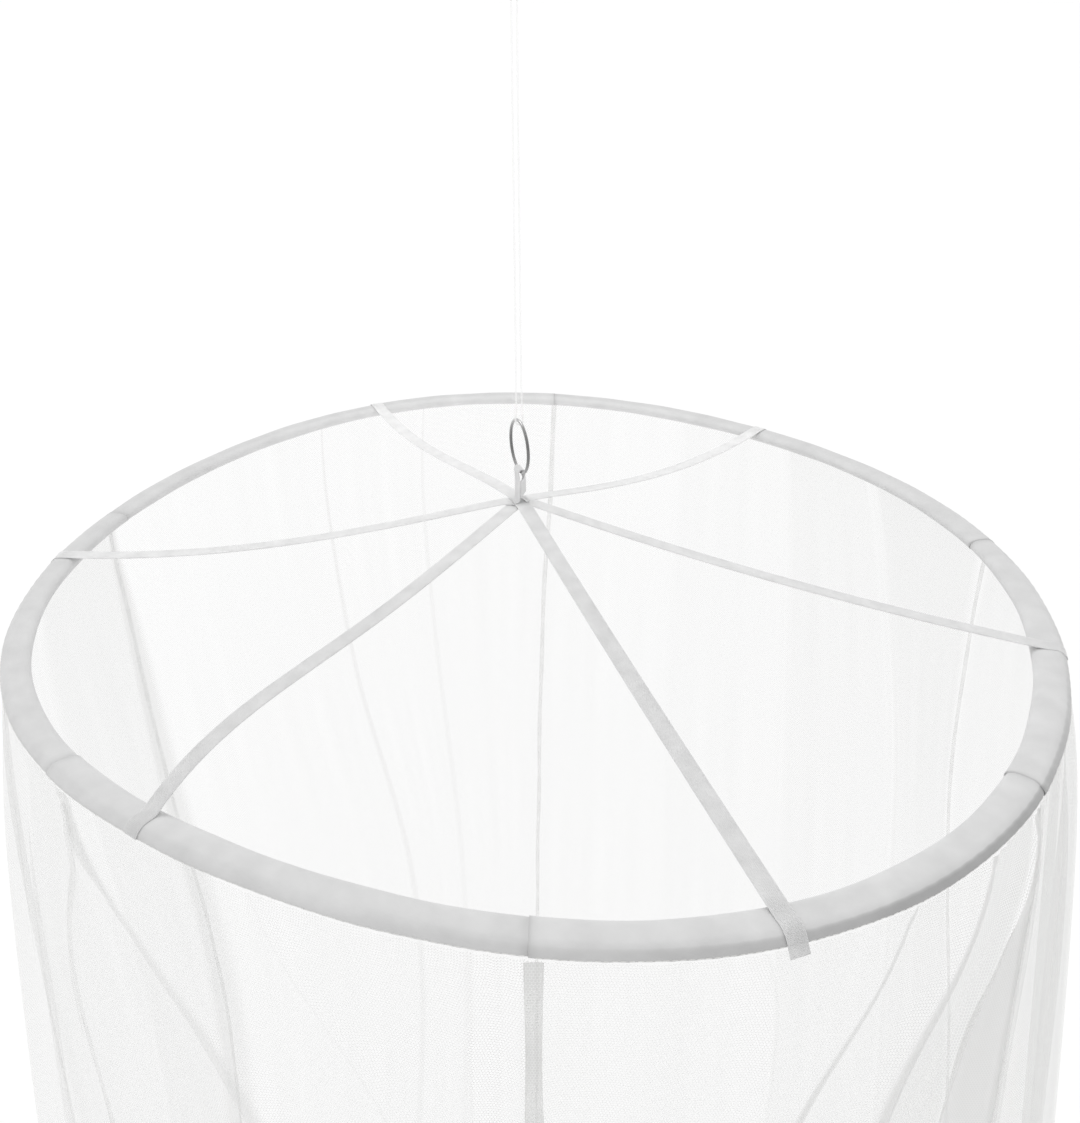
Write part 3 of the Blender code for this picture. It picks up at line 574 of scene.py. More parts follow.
# Warp-knitted net: threads of 0.15 mm round six-sided holes 1.5 mm apart, so fine and pale that it dims what
# is behind it by a tenth. Where it is gathered or doubled, each further layer fills the holes a little more,
# and the single holes are no longer told apart.
net_finish, tree, shader = start_material("knitted_polyester_net", "#dadad9", 0.9)
shader.inputs["Sheen Weight"].default_value = 0.1
place = add_node(tree, "UVMap", {"uv_map": "cloth"})
total = None
for turn in (30, 90, 150):
    direction = (2 * math.pi * math.cos(math.radians(turn)), 2 * math.pi * math.sin(math.radians(turn)), 0)
    scaled = tuple(value * 2 / math.sqrt(3) / MESH_PITCH for value in direction)
    phase = add_node(
        tree, "VectorMath", {"operation": "DOT_PRODUCT"}, {1: scaled}, {0: place.outputs["UV"]}
    )
    wave = add_node(tree, "Math", {"operation": "COSINE"}, links={0: phase.outputs["Value"]})
    if total is None:
        total = wave
    else:
        total = add_node(tree, "Math", {"operation": "ADD"}, links={0: total.outputs[0], 1: wave.outputs[0]})
thread = add_node(
    tree,
    "MapRange",
    values={"From Min": -1.2, "From Max": -0.8, "To Min": 0.32, "To Max": 0.0},
    links={"Value": total.outputs[0]},
)
layers = add_node(tree, "Attribute", {"attribute_name": "shade"})
distinct = add_node(
    tree,
    "MapRange",
    values={"From Min": 1.0, "From Max": 5.0, "To Min": 1.0, "To Max": 0.3},
    links={"Value": layers.outputs["Fac"]},
)
threads = add_node(
    tree,
    "Math",
    {"operation": "MULTIPLY"},
    links={0: thread.outputs["Result"], 1: distinct.outputs["Result"]},
)
further = add_node(
    tree,
    "Math",
    {"operation": "MULTIPLY_ADD"},
    {1: LAYER_COVER, 2: -LAYER_COVER},
    {0: layers.outputs["Fac"]},
)
cover = add_node(
    tree,
    "Math",
    {"operation": "ADD", "use_clamp": True},
    links={0: threads.outputs[0], 1: further.outputs[0]},
)
tree.links.new(cover.outputs[0], shader.inputs["Alpha"])

NET_ROWS = 190
ROWS_CLOSER_ABOVE = 1.7  # power of a row's share that gives its share of the drop
NET_COLUMNS = 18  # for each fold, at the least
PANEL_COLUMNS = 130  # for each panel, at the least
net_depths = NET_TOP + (DROP - NET_TOP) * np.linspace(0, 1, NET_ROWS) ** ROWS_CLOSER_ABOVE
# The hem: up again inside the net by the hem's height, a little inwards
hem_up = np.linspace(0.0, HEM_HEIGHT, 6)[1:]
depths = np.concatenate([net_depths, DROP - hem_up])
inwards = np.repeat((0.0, HEM_INSIDE), (NET_ROWS, len(hem_up)))[:, None]
down = np.concatenate([net_depths, DROP + hem_up])[:, None]
panels = {}
for order, name in enumerate(PANELS):
    first = SEAMS[order]
    last = (SEAMS + [len(FOLDS)])[order + 1]
    per_fold = max(NET_COLUMNS, math.ceil(PANEL_COLUMNS / (last - first)))
    number = np.repeat(np.arange(first, last), per_fold)
    # Columns stand closer together near the folds, where the creases are.
    share = np.tile(0.5 - 0.5 * np.cos(np.arange(per_fold) * math.pi / per_fold), last - first)
    number, share = np.append(number, last - 1), np.append(share, 1.0)
    azimuth, radius, height = net_wall(number, share, depths)
    points = at(azimuth, radius - inwards, height)
    along = np.cumsum(np.linalg.norm(np.diff(points, axis=1, prepend=points[:, :1]), axis=2), axis=1)
    uv = np.stack(np.broadcast_arrays(along - along[:, -1:] / 2, down), axis=-1)
    faces = grid_faces(*points.shape[:2])[:, ::-1]
    layers = net_layers(number, share, depths)
    panel = make_mesh(f"sheer_net_{name}", points, faces, net_finish, uv, layers)
    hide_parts(f"net_{name}")
    panels[name] = (panel, along[:NET_ROWS, -1])

# ---- Seams of the net --------------------------------------------------------------------------------
# At each seam the two panels' edges are rolled together into a flat strip 4 to 9 mm wide and sewn down. The
# strips are the net's own cloth, and the tighter one is rolled, the denser it looks.

SEAM_THICK = 0.0009
SEAM_RISE = 0.0006  # the strip's middle stands this far out from the net
SEAM_SIDES = 12
# Columns: half width, layers of cloth, share of the way to the next fold that the strip lies to one side
SEAM_STRIPS = (
    (0.0030, 1.3, 0.0),
    (0.0040, 3.6, 0.03),
    (0.0045, 1.6, 0.0),
    (0.0022, 2.1, 0.0),
    (0.0022, 2.0, 0.0),
    (0.0022, 2.1, 0.0),
)

seam_strips = []
for order, which in enumerate(SEAMS):
    half_width, seam_layers, aside = SEAM_STRIPS[order]
    azimuth, radius, height = net_wall(np.array([which]), np.array([aside]), net_depths)
    middle = at(azimuth, radius, height)[:, 0]
    outwards = at(azimuth, 1.0, 0.0)[:, 0] - at(azimuth, 0.0, 0.0)[:, 0]
    downwards = np.gradient(middle, axis=0)
    sideways = unit(np.cross(downwards, outwards))
    outwards = unit(np.cross(sideways, downwards))
    turn = np.arange(SEAM_SIDES) * 2 * math.pi / SEAM_SIDES
    across = half_width * np.sign(np.cos(turn)) * np.abs(np.cos(turn)) ** 0.5
    rise = SEAM_THICK / 2 * np.sin(turn) + SEAM_RISE
    wander = 0.0004 * np.sin(net_depths * 31 + order)[:, None]
    uneven = 1 + 0.10 * np.sin(net_depths * 57 + 2 * order)[:, None]
    points = middle[:, None] + (across * uneven + wander)[..., None] * sideways[:, None]
    points = points + rise[:, None] * outwards[:, None]
    uv = np.stack(np.broadcast_arrays(across, net_depths[:, None]), axis=-1)
    shades = seam_layers * (1 + 0.12 * np.sin(net_depths * 140 + order))[:, None]
    shades = shades * (1 + 0.15 * np.abs(np.cos(turn)))
    faces = grid_faces(NET_ROWS, SEAM_SIDES, True)
    strip = make_mesh(f"net_{FOLDS[which][0]}", points, faces, net_finish, uv, shades)
    seam_strips.append(strip)
# Each panel's width at every depth, round its folds, is read beside its seam strip; no more is made of them
# here.
for name, strip in zip(PANELS, seam_strips):
    panel, widths = panels[name]

# ---- Straps ------------------------------------------------------------------------------------------
# Three lengths of 10 mm woven polyester tape run from side to side, crossed and sewn together at the hub.
# Each end goes over the sleeve and down its slope, and is sewn there above the net. One is left as a tail.

HUB_RISE = 0.057
TAPE_WIDTH = 0.010
TAPE_CLOTH = 0.0007
HUB_FLAT = 0.010
HUB_LAYER = 0.0008
STRAP_CLEARANCE = 0.0002
TAIL_LENGTH = 0.004
TAPE_STEP = 0.0009  # along a tape, from one row of points to the next
TAPE_RIB = 0.0007
TAPE_WARP = 0.0009
WAVE_BANDS = 3.18  # bands of the wave pattern in one unit, at scale 1
TOUCH_FROM = 5  # the first place on the sleeve's outline that a strap lies on
STITCH_ROWS = (3, 7)  # steps from the strap's end
STITCH_PLACES = (-0.0036, -0.0011, 0.0014)  # across the tape
TAPE_STITCH = 0.0021
# Paleness of the tapes, and the painted light that makes them paler towards the back: how much, from where to
# where
TAPE_PALE = 0.77
TAPE_PAINTED_LIGHT = 0.27
TAPE_PAINTED_LIGHT_FROM = -0.10
TAPE_PAINTED_LIGHT_TO = 0.25
# Columns: strap, then for each end: azimuth, sag (up is positive), where the sag is deepest, how it ends
STRAPS = (
    ("strap_front_right", ((-71.9, -0.002, 0.50, "tail"), (117.0, -0.0095, 0.65, "sewn"))),
    ("strap_right", ((-14.4, -0.006, 0.50, "sewn"), (175.4, -0.011, 0.55, "sewn"))),
    ("strap_front_left", ((-128.9, 0.012, 0.80, "sewn"), (54.2, -0.0125, 0.55, "sewn"))),
)

# Woven tape: fine ribs across it, 0.7 mm apart, between firm edges; a matt surface with a little sheen.
tape_finish, tree, shader = start_material("woven_polyester_tape", "#e9e9e9", 0.8)
shader.inputs["Sheen Weight"].default_value = 0.2
place = add_node(tree, "UVMap", {"uv_map": "cloth"})
ribs = add_node(
    tree,
    "TexWave",
    {"wave_type": "BANDS", "bands_direction": "X", "wave_profile": "SIN"},
    {"Scale": 1 / TAPE_RIB / WAVE_BANDS, "Distortion": 0.6, "Detail": 1.0},
    {"Vector": place.outputs["UV"]},
)
warp = add_node(
    tree,
    "TexWave",
    {"wave_type": "BANDS", "bands_direction": "Y", "wave_profile": "SIN"},
    {"Scale": 1 / TAPE_WARP / WAVE_BANDS},
    {"Vector": place.outputs["UV"]},
)
woven = add_node(tree, "Math", {"operation": "ADD"}, links={0: ribs.outputs["Fac"], 1: warp.outputs["Fac"]})
bump = add_node(
    tree, "Bump", values={"Strength": 0.4, "Distance": 0.00025}, links={"Height": woven.outputs[0]}
)
tree.links.new(bump.outputs["Normal"], shader.inputs["Normal"])
worn = add_node(
    tree, "TexNoise", values={"Scale": 90.0, "Detail": 3.0}, links={"Vector": place.outputs["UV"]}
)
ramp = add_node(tree, "ValToRGB", links={"Fac": worn.outputs["Fac"]})
ramp.color_ramp.elements[0].position = 0.3
ramp.color_ramp.elements[0].color = (*linear("#e2e2e2"), 1)
ramp.color_ramp.elements[1].position = 0.7
ramp.color_ramp.elements[1].color = (*linear("#efefef"), 1)
# Each point's paleness with its painted light towards the back, which the colour is multiplied by
tape_paleness_and_painted_light = add_node(tree, "Attribute", {"attribute_name": "shade"})
toned = add_node(
    tree,
    "Mix",
    {"data_type": "RGBA", "blend_type": "MULTIPLY"},
    {"Factor": 1.0},
    {6: ramp.outputs["Color"], 7: tape_paleness_and_painted_light.outputs["Color"]},
)
tree.links.new(toned.outputs[2], shader.inputs["Base Color"])
# Light goes some way through the cloth.
shader.inputs["Subsurface Weight"].default_value = 0.6
shader.inputs["Subsurface Radius"].default_value = (1.0, 1.0, 1.0)
shader.inputs["Subsurface Scale"].default_value = 0.0015


def bent_tape(corners, step):
    """A tape's middle line through corners: even steps along the straight runs, each place then the mean of
    five, weighed by a raised cosine, so that it bends as tape does."""
    gone = np.concatenate([[0.0], np.cumsum(np.linalg.norm(np.diff(corners, axis=0), axis=1))])
    steps = np.linspace(0, gone[-1], round(gone[-1] / step))
    places = np.stack([np.interp(steps, gone, corners[:, k]) for k in (0, 1)], axis=1)
    weights = np.hanning(7)[1:-1] / np.hanning(7)[1:-1].sum()
    places[2:-2] = np.stack([np.convolve(places[:, k], weights, "valid") for k in (0, 1)], axis=1)
    return places


def strap_half(azimuth, sag, deepest, ending, hub_height):
    """One strap's middle from the hub out, as distance from the line and height: a straight run with a
    sag whose shape is the share to a power times what is left, then down the sleeve's outline moved
    outwards, from the corner that the run touches, which isn't further in than the outline's top, to its
    lower edge or into a short drooping tail."""
    end = at(azimuth, hoop_radius(azimuth), waves(OUT_OF_LEVEL, azimuth))
    reach = math.hypot(end[0], end[1])
    shape = np.array(SLEEVE_OUTLINE) * (SLEEVE_HALF_WIDTH, SLEEVE_HALF_HEIGHT)
    edges = np.roll(shape, -1, axis=0) - shape
    outwards = unit(np.stack([edges[:, 1], -edges[:, 0]], axis=1))
    corner = unit(outwards + np.roll(outwards, 1, axis=0))
    outset = STRAP_CLEARANCE + TAPE_CLOTH / 2
    over = shape + outset * corner / np.sum(corner * outwards, axis=1, keepdims=True)
    start, stop = next(joints for _, *joints in SLEEVES if joints[0] <= azimuth < joints[1])
    taper = 1 + SLEEVE_LAP * (1 - 2 * (azimuth - start) / (stop - start))
    over[:, 0] *= plain_half_width(azimuth) * taper / SLEEVE_HALF_WIDTH
    over += (reach, end[2] + HANG)
    touch = TOUCH_FROM
    share = np.linspace(0, 1, 41)
    sagging = (share / deepest) ** (deepest / (1 - deepest)) * (1 - share) / (1 - deepest)
    # The corner that the run touches depends on the run's slope, and the slope on the corner.
    for _ in range(4):
        distance = HUB_FLAT + (over[touch, 0] - HUB_FLAT) * share
        height = hub_height + (over[touch, 1] - hub_height) * share + sag * sagging
        slope = (height[-1] - height[-2]) / (distance[-1] - distance[-2])
        touch = max(int(np.argmax(over[:, 1] - slope * over[:, 0])), TOUCH_FROM)
    flat = np.stack([np.linspace(0, HUB_FLAT, 4)[:-1], np.full(3, hub_height)], axis=1)
    down = over[touch - 1 :: -1]
    if ending == "tail":
        droop = down[-1] + TAIL_LENGTH * np.array([[0.26, -0.30], [0.50, -0.64], [0.68, -0.96]])
        down = np.concatenate([down, droop])
    else:
        down[-1] += 0.25 * (down[-2] - down[-1])
    run = np.stack([distance, height], axis=1)
    return bent_tape(np.concatenate([flat, run, down]), TAPE_STEP), end


# Once round a tape: share of its width, share of its thickness. The edges are thicker, as selvedges are.
TAPE_OUTLINE = np.array(
    [(0.5, -0.2), (0.5, 0.2), (0.47, 0.5), (0.36, 0.42), (0.0, 0.38), (-0.36, 0.42), (-0.47, 0.5)]
)
TAPE_OUTLINE = np.concatenate([TAPE_OUTLINE, -TAPE_OUTLINE])
# Four-sided faces that close an end of that outline
TAPE_END = np.array([(0, 1, 2, 13)] + [(15 - k, k, k + 1, 14 - k) for k in range(2, 7)])


def tape_mesh(name, path, side, width, cloth):
    """A woven tape: its outline carried along the path, with closed ends. Gives the piece and its length.
    Painted light makes it paler towards the back, by a power of the way there, as if light came through it."""
    along = unit(np.gradient(path, axis=0))
    up = unit(np.cross(along, side))
    across = TAPE_OUTLINE[:, 0] * width
    points = path[:, None] + across[None, :, None] * side[:, None]
    points = points + (TAPE_OUTLINE[:, 1] * cloth)[None, :, None] * up[:, None]
    length = np.cumsum(np.linalg.norm(np.diff(path, axis=0, prepend=path[:1]), axis=1))
    uv = np.stack(np.broadcast_arrays(length[:, None], across[None]), axis=-1)
    rows, columns = len(path), len(TAPE_OUTLINE)
    faces = np.concatenate(
        [grid_faces(rows, columns, True)[:, ::-1], TAPE_END[:, ::-1], TAPE_END + (rows - 1) * columns]
    )
    way = np.clip((points[..., 1] - TAPE_PAINTED_LIGHT_FROM) / (TAPE_PAINTED_LIGHT_TO - TAPE_PAINTED_LIGHT_FROM), 0, 1)
    pale_and_painted_light = TAPE_PALE * (1 + TAPE_PAINTED_LIGHT * way**0.7)
    return make_mesh(name, points, faces, tape_finish, uv, pale_and_painted_light), length[-1]


for layer, (name, ends) in enumerate(STRAPS):
    hub_height = HUB_RISE - layer * HUB_LAYER
    paths, sides = [], []
    for azimuth, sag, deepest, ending in ends:
        places, end = strap_half(azimuth, sag, deepest, ending, hub_height)
        towards = np.array([end[0], end[1], 0.0]) / math.hypot(end[0], end[1])
        paths.append(places[:, :1] * towards + places[:, 1:] * (0.0, 0.0, 1.0) - (0.0, 0.0, HANG))
        sides.append(np.tile(np.cross((0.0, 0.0, 1.0), towards), (len(places), 1)))
    path = np.concatenate([paths[0][::-1], paths[1][1:]])
    side = np.concatenate([sides[0][::-1], -sides[1][1:]])
    hub = len(paths[0]) - 1
    mix = np.linspace(0, 1, 11)[:, None]
    side[hub - 5 : hub + 6] = side[hub - 6] * (1 - mix) + side[hub + 6] * mix
    side = unit(side)
    tape, length = tape_mesh(f"tape_{name}", path, side, TAPE_WIDTH, TAPE_CLOTH)
    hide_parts(name)
    # Two rows of stitches hold each end to the slope, and two more the straps to each other at the hub.
    raised = np.cross(unit(np.gradient(path, axis=0)), side) * TAPE_CLOTH * 0.45
    tail = round(TAIL_LENGTH * 1.2 / TAPE_STEP) if ends[0][3] == "tail" else 0
    rows = [tail + k for k in STITCH_ROWS] + [len(path) - 1 - k for k in STITCH_ROWS]
    if layer == 0:
        rows += [hub - 4, hub + 4]
    begins = [path[k] + raised[k] + place * side[k] for k in rows for place in STITCH_PLACES]
    stops = [path[k] + raised[k] + (place + TAPE_STITCH) * side[k] for k in rows for place in STITCH_PLACES]
    begins, stops = np.array(begins), np.array(stops)
    bar_mesh(f"stitches_{name}", begins, stops, THREAD_RADIUS, thread_finish)

# ---- Ring and its loop -------------------------------------------------------------------------------
# A ring of 2 mm steel wire, bent round and welded, polished and nickel-plated. A loop of 9 mm tape,
# woven as the straps are, goes over its lowest wire, and both of its feet are sewn to the hub.

RING_RADIUS = 0.0170
RING_WIRE = 0.0010
RING_TURN = 110.0
RING_ABOVE_HUB = 0.0215
LOOP_WIDTH = 0.009
LOOP_CLOTH = 0.0007
LOOP_HALF_SPREAD = 0.0017
LOOP_ROUND_WIRE = 0.0023
LOOP_FOOT = 0.005
LOOP_STEP = 0.000357  # along the loop, from one row of points to the next
LOOP_CLEARANCE = 0.0001
RING_STATIONS = 120  # round the ring
WIRE_SIDES = 16  # round its wire
LOOP_TURNED = 42.0  # degrees, of the right leg
LOOP_ASIDE = 0.0004  # and how far it stands out there
# Where the ring is welded and where its colour is darkest, in degrees round it
WELD_AT = 205.0
WELD_SPREAD = 3.5
WELD_RISE = 0.07
MIRROR_DARKEST = 165.0
MIRROR_TONE = 0.36
MIRROR_SWING = 0.17

# Nickel plate: smooth, with faint hairlines from polishing. It mirrors the dark room in two soft stretches,
# which is drawn into its colour, as the studio round it is all white.
ring_finish, tree, shader = start_material("nickel_plated_steel", "#6b6b6d", 0.18, 1.0)
place = add_node(tree, "TexCoord")
hairlines = add_node(
    tree, "TexNoise", values={"Scale": 700.0, "Detail": 4.0}, links={"Vector": place.outputs["Object"]}
)
rough = add_node(
    tree,
    "MapRange",
    values={"From Min": 0.3, "From Max": 0.7, "To Min": 0.12, "To Max": 0.30},
    links={"Value": hairlines.outputs["Fac"]},
)
tree.links.new(rough.outputs["Result"], shader.inputs["Roughness"])
mirrored = add_node(tree, "Attribute", {"attribute_name": "shade"})
tree.links.new(mirrored.outputs["Color"], shader.inputs["Base Color"])

turn = math.radians(RING_TURN)
ring_along = np.array([math.cos(turn), math.sin(turn), 0.0])
ring_across = np.array([math.sin(turn), -math.cos(turn), 0.0])
up = np.array([0.0, 0.0, 1.0])


def tube(path, across, radius, sides):
    """Round sections along a path that lies in a plane; across is the plane's normal."""
    out = np.cross(unit(np.gradient(path, axis=0)), across)
    return path[:, None] + np.broadcast_to(radius, len(path))[:, None, None] * circle(sides, out, across)


def with_ends(path, sections):
    """Sections along a path, with a point of it at each end that closes them."""
    ends = [np.repeat(path[[k], None], sections.shape[1], 1) for k in (0, -1)]
    return np.concatenate([ends[0], sections, ends[1]])


ring_middle = np.array([0.0, 0.0, HUB_RISE + RING_ABOVE_HUB + RING_RADIUS - HANG])
turns = np.linspace(0, 2 * math.pi, RING_STATIONS + 1)[:, None]
path = ring_middle + RING_RADIUS * (np.cos(turns) * ring_along + np.sin(turns) * up)
weld = 1 + WELD_RISE * bell(np.degrees(turns[:, 0]) - WELD_AT, WELD_SPREAD)
sections = tube(path, ring_across, RING_WIRE * weld, WIRE_SIDES)[:-1]
faces = grid_faces(RING_STATIONS + 1, WIRE_SIDES, True) % (RING_STATIONS * WIRE_SIDES)
mirror = MIRROR_TONE - MIRROR_SWING * np.cos(2 * (turns[:-1, 0] - math.radians(MIRROR_DARKEST)))
mirror = np.repeat(mirror, WIRE_SIDES)
ring = make_mesh("welded_ring", sections, faces, ring_finish, shades=mirror)
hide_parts("ring")

# The loop's middle line, sideways and up from the hub: from its right foot to the wire, then mirrored
foot = TAPE_CLOTH / 2 + LOOP_CLEARANCE + LOOP_CLOTH / 2
leg, wire = LOOP_HALF_SPREAD, LOOP_ROUND_WIRE
half = [(LOOP_FOOT, foot), (leg + 0.0013, foot), (leg + 0.0002, foot + 0.0010), (leg, foot + 0.004)]
half += [(leg, RING_ABOVE_HUB - 0.0055), (wire * 0.80, RING_ABOVE_HUB - 0.0022)]
half += [(wire * math.cos(a), RING_ABOVE_HUB + wire * math.sin(a)) for a in np.radians([0.0, 30.0, 60.0])]
outline = np.array(half + [(0.0, RING_ABOVE_HUB + wire)] + [(-x, z) for x, z in half[::-1]])
outline = bent_tape(outline, LOOP_STEP)
# Below the wire its near edges are drawn together, so the leg on the right is turned towards the front.
below = np.clip((RING_ABOVE_HUB - 0.0030 - outline[:, 1]) / 0.004, 0, 1)
below = (outline[:, 0] > 0) * below * np.clip(outline[:, 1] / 0.003 - 0.6, 0, 1)
turned = np.radians(LOOP_TURNED) * smooth_step(below, 0, 1)[:, None]
outline[:, 0] += LOOP_ASIDE * below
path = outline[:, :1] * ring_across + (outline[:, 1:] + HUB_RISE - HANG) * up
side = np.cos(turned) * ring_along + np.sin(turned) * ring_across
loop, _ = tape_mesh("tape_ring_loop", path, side, LOOP_WIDTH, LOOP_CLOTH)
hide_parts("ring_loop")

# ---- Line --------------------------------------------------------------------------------------------
# One length of 1.3 mm clear nylon line, doubled: under the ring's top wire, up and over the hook, and
# tied to its own end beside the hook.

LINE_RADIUS = 0.00065
LINE_HALF_SPREAD = 0.0016
LINE_AT_RING = 0.0024
LINE_STEP = 0.0055
KNOT_BELOW_HOOK = 0.010
KNOT_RADIUS = 0.0019
KNOT_TURN = 0.00115  # radius of the turns, and half the knot's length
KNOT_CORD = 0.0006
KNOT_TURNS = 3
KNOT_SIDES = 10
KNOT_ASIDE = 0.80  # share of the line's half spread at the hook
HOOK_WIRE = 0.0020
HOOK_ABOVE_HOOP = 0.372
GAP = 0.0003

# Clear nylon: mostly see-through, a little cloudy, with a soft shine
line_finish, tree, shader = start_material("clear_nylon_line", "#ffffff", 0.15)
place = add_node(tree, "TexCoord")
haze = add_node(tree, "TexNoise", values={"Scale": 150.0}, links={"Vector": place.outputs["Object"]})
fade = add_node(
    tree,
    "MapRange",
    values={"From Min": 0.3, "From Max": 0.7, "To Min": 0.32, "To Max": 0.46},
    links={"Value": haze.outputs["Fac"]},
)
tree.links.new(fade.outputs["Result"], shader.inputs["Alpha"])


def on_ring_plane(flat):
    """Places sideways of the line and above the hoop's level, as points."""
    return flat[:, :1] * ring_across + (flat[:, 1:] - HANG) * up


ring_top = HUB_RISE + RING_ABOVE_HUB + 2 * RING_RADIUS
at_hook = HOOK_WIRE + LINE_RADIUS + 2 * GAP
knot_height = HOOK_ABOVE_HOOP - KNOT_BELOW_HOOK
turns = np.radians(np.arange(0, -181, -30.0))
bight = np.stack([LINE_AT_RING * np.cos(turns), ring_top + LINE_AT_RING * np.sin(turns)], axis=1)
rise = np.arange(ring_top + LINE_STEP, HOOK_ABOVE_HOOP - LINE_STEP, LINE_STEP)
spread = LINE_HALF_SPREAD + (LINE_AT_RING - LINE_HALF_SPREAD) * np.exp(-(rise - ring_top) / 0.012)
spread = spread + (at_hook - LINE_HALF_SPREAD) * np.exp(-(HOOK_ABOVE_HOOP - rise) / 0.008)
turns = np.radians(np.arange(180, -1, -30.0))
over = np.stack([at_hook * np.cos(turns), HOOK_ABOVE_HOOP + at_hook * np.sin(turns)], axis=1)
knot_aside = KNOT_ASIDE * at_hook
down = [[at_hook * 0.93, HOOK_ABOVE_HOOP - 0.003], [knot_aside, knot_height + KNOT_RADIUS + GAP]]
first_route = on_ring_plane(np.concatenate([bight, np.stack([-spread, rise], axis=1), over, down]))
second_rise = np.append(rise[rise < knot_height - 2 * KNOT_RADIUS], knot_height - KNOT_RADIUS - GAP)
second_spread = np.append(spread[: len(second_rise) - 1], knot_aside)
second_route = np.stack([second_spread, second_rise], axis=1)
second_route = np.concatenate([[[LINE_AT_RING, ring_top + 2 * GAP]], second_route])
second_route = on_ring_plane(second_route[::2])

# The knot: the end is wound three times round the line, and trimmed.
knot_middle = on_ring_plane(np.array([[knot_aside, knot_height]]))[0]
turns = np.linspace(0, 2 * math.pi * KNOT_TURNS, 24 * KNOT_TURNS + 1)
climb = turns / (math.pi * KNOT_TURNS) - 1
coil = KNOT_TURN * np.stack([np.cos(turns), np.sin(turns), climb], axis=1)
out = unit(coil * (1, 1, 0))
sections = coil[:, None] + KNOT_CORD * circle(KNOT_SIDES, out, np.cross(unit(np.gradient(coil, axis=0)), out))
shell = with_ends(coil, sections) + knot_middle
knot = make_mesh("tied_knot", shell, grid_faces(len(shell), KNOT_SIDES, True), line_finish)
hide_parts("line_knot")

for node_name, route in (("line_over_hook", first_route), ("line_to_knot", second_route)):
    curve = bpy.data.curves.new(f"nylon_{node_name}", "CURVE")
    curve.dimensions = "3D"
    spline = curve.splines.new("POLY")
    spline.points.add(len(route) - 1)
    spline.points.foreach_set("co", np.column_stack([route, np.ones(len(route))]).ravel())
    curve.bevel_depth = LINE_RADIUS
    curve.bevel_resolution = 4
    curve.use_fill_caps = True
    curve.materials.append(line_finish)
    line = bpy.data.objects.new(f"nylon_{node_name}", curve)
    bpy.context.scene.collection.objects.link(line)
    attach(line, "root")
    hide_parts(node_name)
    length = float(np.linalg.norm(np.diff(route, axis=0), axis=1).sum())

# ---- Ceiling hook ------------------------------------------------------------------------------------
# A pressed steel plate that screws to the ceiling, and a hook of 4 mm wire, both zinc-plated.

HOOK_RADIUS = 0.009
HOOK_MOUTH = 150.0
PLATE_RADIUS = 0.015
PLATE_THICKNESS = 0.003
PLATE_SIDES = 64
HOOK_POINT = (0.93, 0.75, 0.4)  # shares of the wire's radius at the tip

zinc_finish, tree, shader = start_material("zinc_plated_steel", "#b9bbbd", 0.35, 1.0)
place = add_node(tree, "TexCoord")
spangle = add_node(tree, "TexVoronoi", values={"Scale": 900.0}, links={"Vector": place.outputs["Object"]})
rough = add_node(
    tree,
    "MapRange",
    values={"From Min": 0.0, "From Max": 1.0, "To Min": 0.28, "To Max": 0.42},
    links={"Value": spangle.outputs["Distance"]},
)
tree.links.new(rough.outputs["Result"], shader.inputs["Roughness"])

# The plate's outline, turned round its axis: radius and height, from the middle of its top
profile = np.array(
    [
        (0.0, 0.0),
        (PLATE_RADIUS, 0.0),
        (PLATE_RADIUS, -0.0012),
        (PLATE_RADIUS - 0.0004, -0.0019),
        (PLATE_RADIUS * 0.86, -PLATE_THICKNESS),
        (0.0, -PLATE_THICKNESS),
    ]
)
angle = np.arange(PLATE_SIDES) * 2 * math.pi / PLATE_SIDES
plate_points = np.stack(
    [
        profile[:, :1] * np.cos(angle),
        profile[:, :1] * np.sin(angle),
        np.broadcast_to(profile[:, 1:], (len(profile), PLATE_SIDES)),
    ],
    axis=-1,
)
faces = grid_faces(len(profile), PLATE_SIDES, True)[:, ::-1]
plate = make_mesh("pressed_plate", plate_points, faces, zinc_finish, smooth=False)
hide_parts("ceiling_plate")

top = HANG - PLATE_THICKNESS - GAP
middle = HOOK_ABOVE_HOOP + HOOK_RADIUS
turns = np.radians(np.linspace(90, HOOK_MOUTH - 360, 60))
bend = np.stack([HOOK_RADIUS * np.cos(turns), middle + HOOK_RADIUS * np.sin(turns)], axis=1)
shank = np.stack([np.zeros(8), np.linspace(top, bend[0, 1] + 0.003, 8)], axis=1)
outline = np.concatenate([shank, bend])
path = outline[:, :1] * ring_along + (outline[:, 1:] - HANG) * up
taper = np.ones(len(path))
taper[-3:] = HOOK_POINT
closed = with_ends(path, tube(path, ring_across, HOOK_WIRE * taper, WIRE_SIDES))
hook = make_mesh("wire_hook", closed, grid_faces(len(closed), WIRE_SIDES, True), zinc_finish)
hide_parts("ceiling_hook")

# ---- Room, light and camera --------------------------------------------------------------------------
# A pale floor below the hem, an even white sky, and one broad lamp above, behind and to the left.

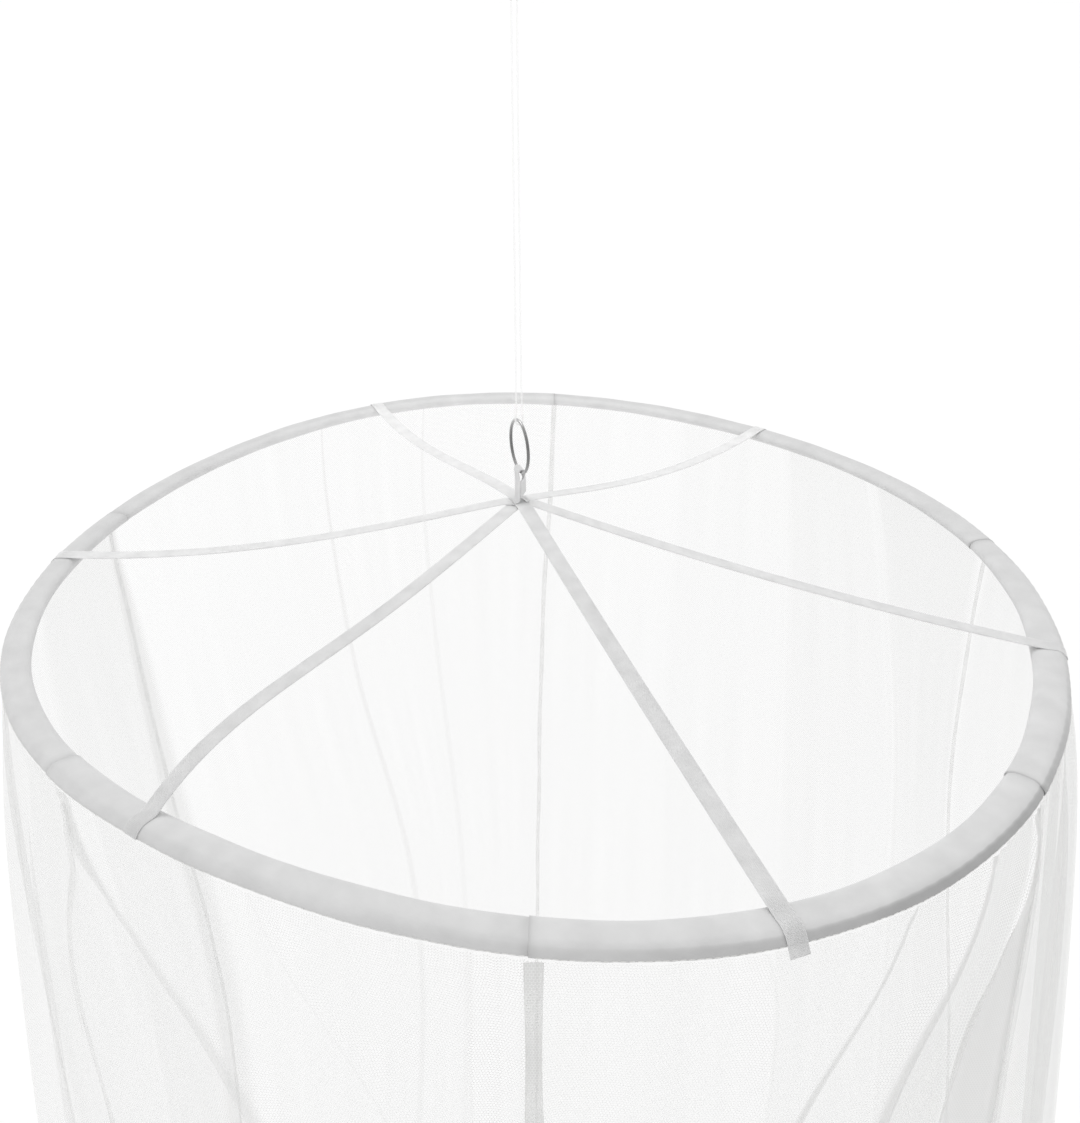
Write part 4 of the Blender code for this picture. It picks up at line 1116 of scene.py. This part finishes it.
FLOOR_HALF = 150.0
FLOOR_LEVEL = -2.46
CAMERA_AT = (0.015, -0.6755, -0.0475)
# How the camera is turned, in radians: down, sideways, and round its line of sight
pitch, yaw, roll = 0.5019, -0.0032, -0.0032

floor_finish, tree, shader = start_material("pale_floor", "#f7f7f7", 0.9)
mesh = bpy.data.meshes.new("floor")
corners = [(x * FLOOR_HALF, y * FLOOR_HALF, FLOOR_LEVEL) for x, y in ((-1, -1), (1, -1), (1, 1), (-1, 1))]
mesh.from_pydata(corners, [], [(0, 1, 2, 3)])
mesh.materials.append(floor_finish)
floor = bpy.data.objects.new("floor", mesh)
bpy.context.scene.collection.objects.link(floor)

world = bpy.data.worlds.new("studio")
world.use_nodes = True
world.node_tree.nodes["Background"].inputs["Color"].default_value = (1, 1, 1, 1)
world.node_tree.nodes["Background"].inputs["Strength"].default_value = 0.90
bpy.context.scene.world = world

lamp = bpy.data.lights.new("broad_lamp", "SUN")
lamp.energy = 0.75
lamp.angle = math.radians(35)
lamp_object = bpy.data.objects.new("broad_lamp", lamp)
lamp_object.rotation_euler = (math.radians(-33), math.radians(-20), 0)
bpy.context.scene.collection.objects.link(lamp_object)

forward = np.array([math.sin(yaw) * math.cos(pitch), math.cos(yaw) * math.cos(pitch), -math.sin(pitch)])
right = np.array([math.cos(yaw), -math.sin(yaw), 0.0])
above = np.cross(right, forward)
right, above = (
    math.cos(roll) * right + math.sin(roll) * above,
    -math.sin(roll) * right + math.cos(roll) * above,
)
camera = bpy.data.cameras.new("camera")
camera.sensor_fit = "HORIZONTAL"
camera.sensor_width = 36
camera.lens = 38.27
camera.clip_start = 0.01
camera.clip_end = 500
camera_object = bpy.data.objects.new("camera", camera)
turned = Matrix([list(row) for row in np.stack([right, above, -forward], axis=1)]).to_4x4()
camera_object.matrix_world = Matrix.Translation(CAMERA_AT) @ turned
bpy.context.scene.collection.objects.link(camera_object)
bpy.context.scene.camera = camera_object
bpy.context.scene.view_settings.view_transform = "Standard"
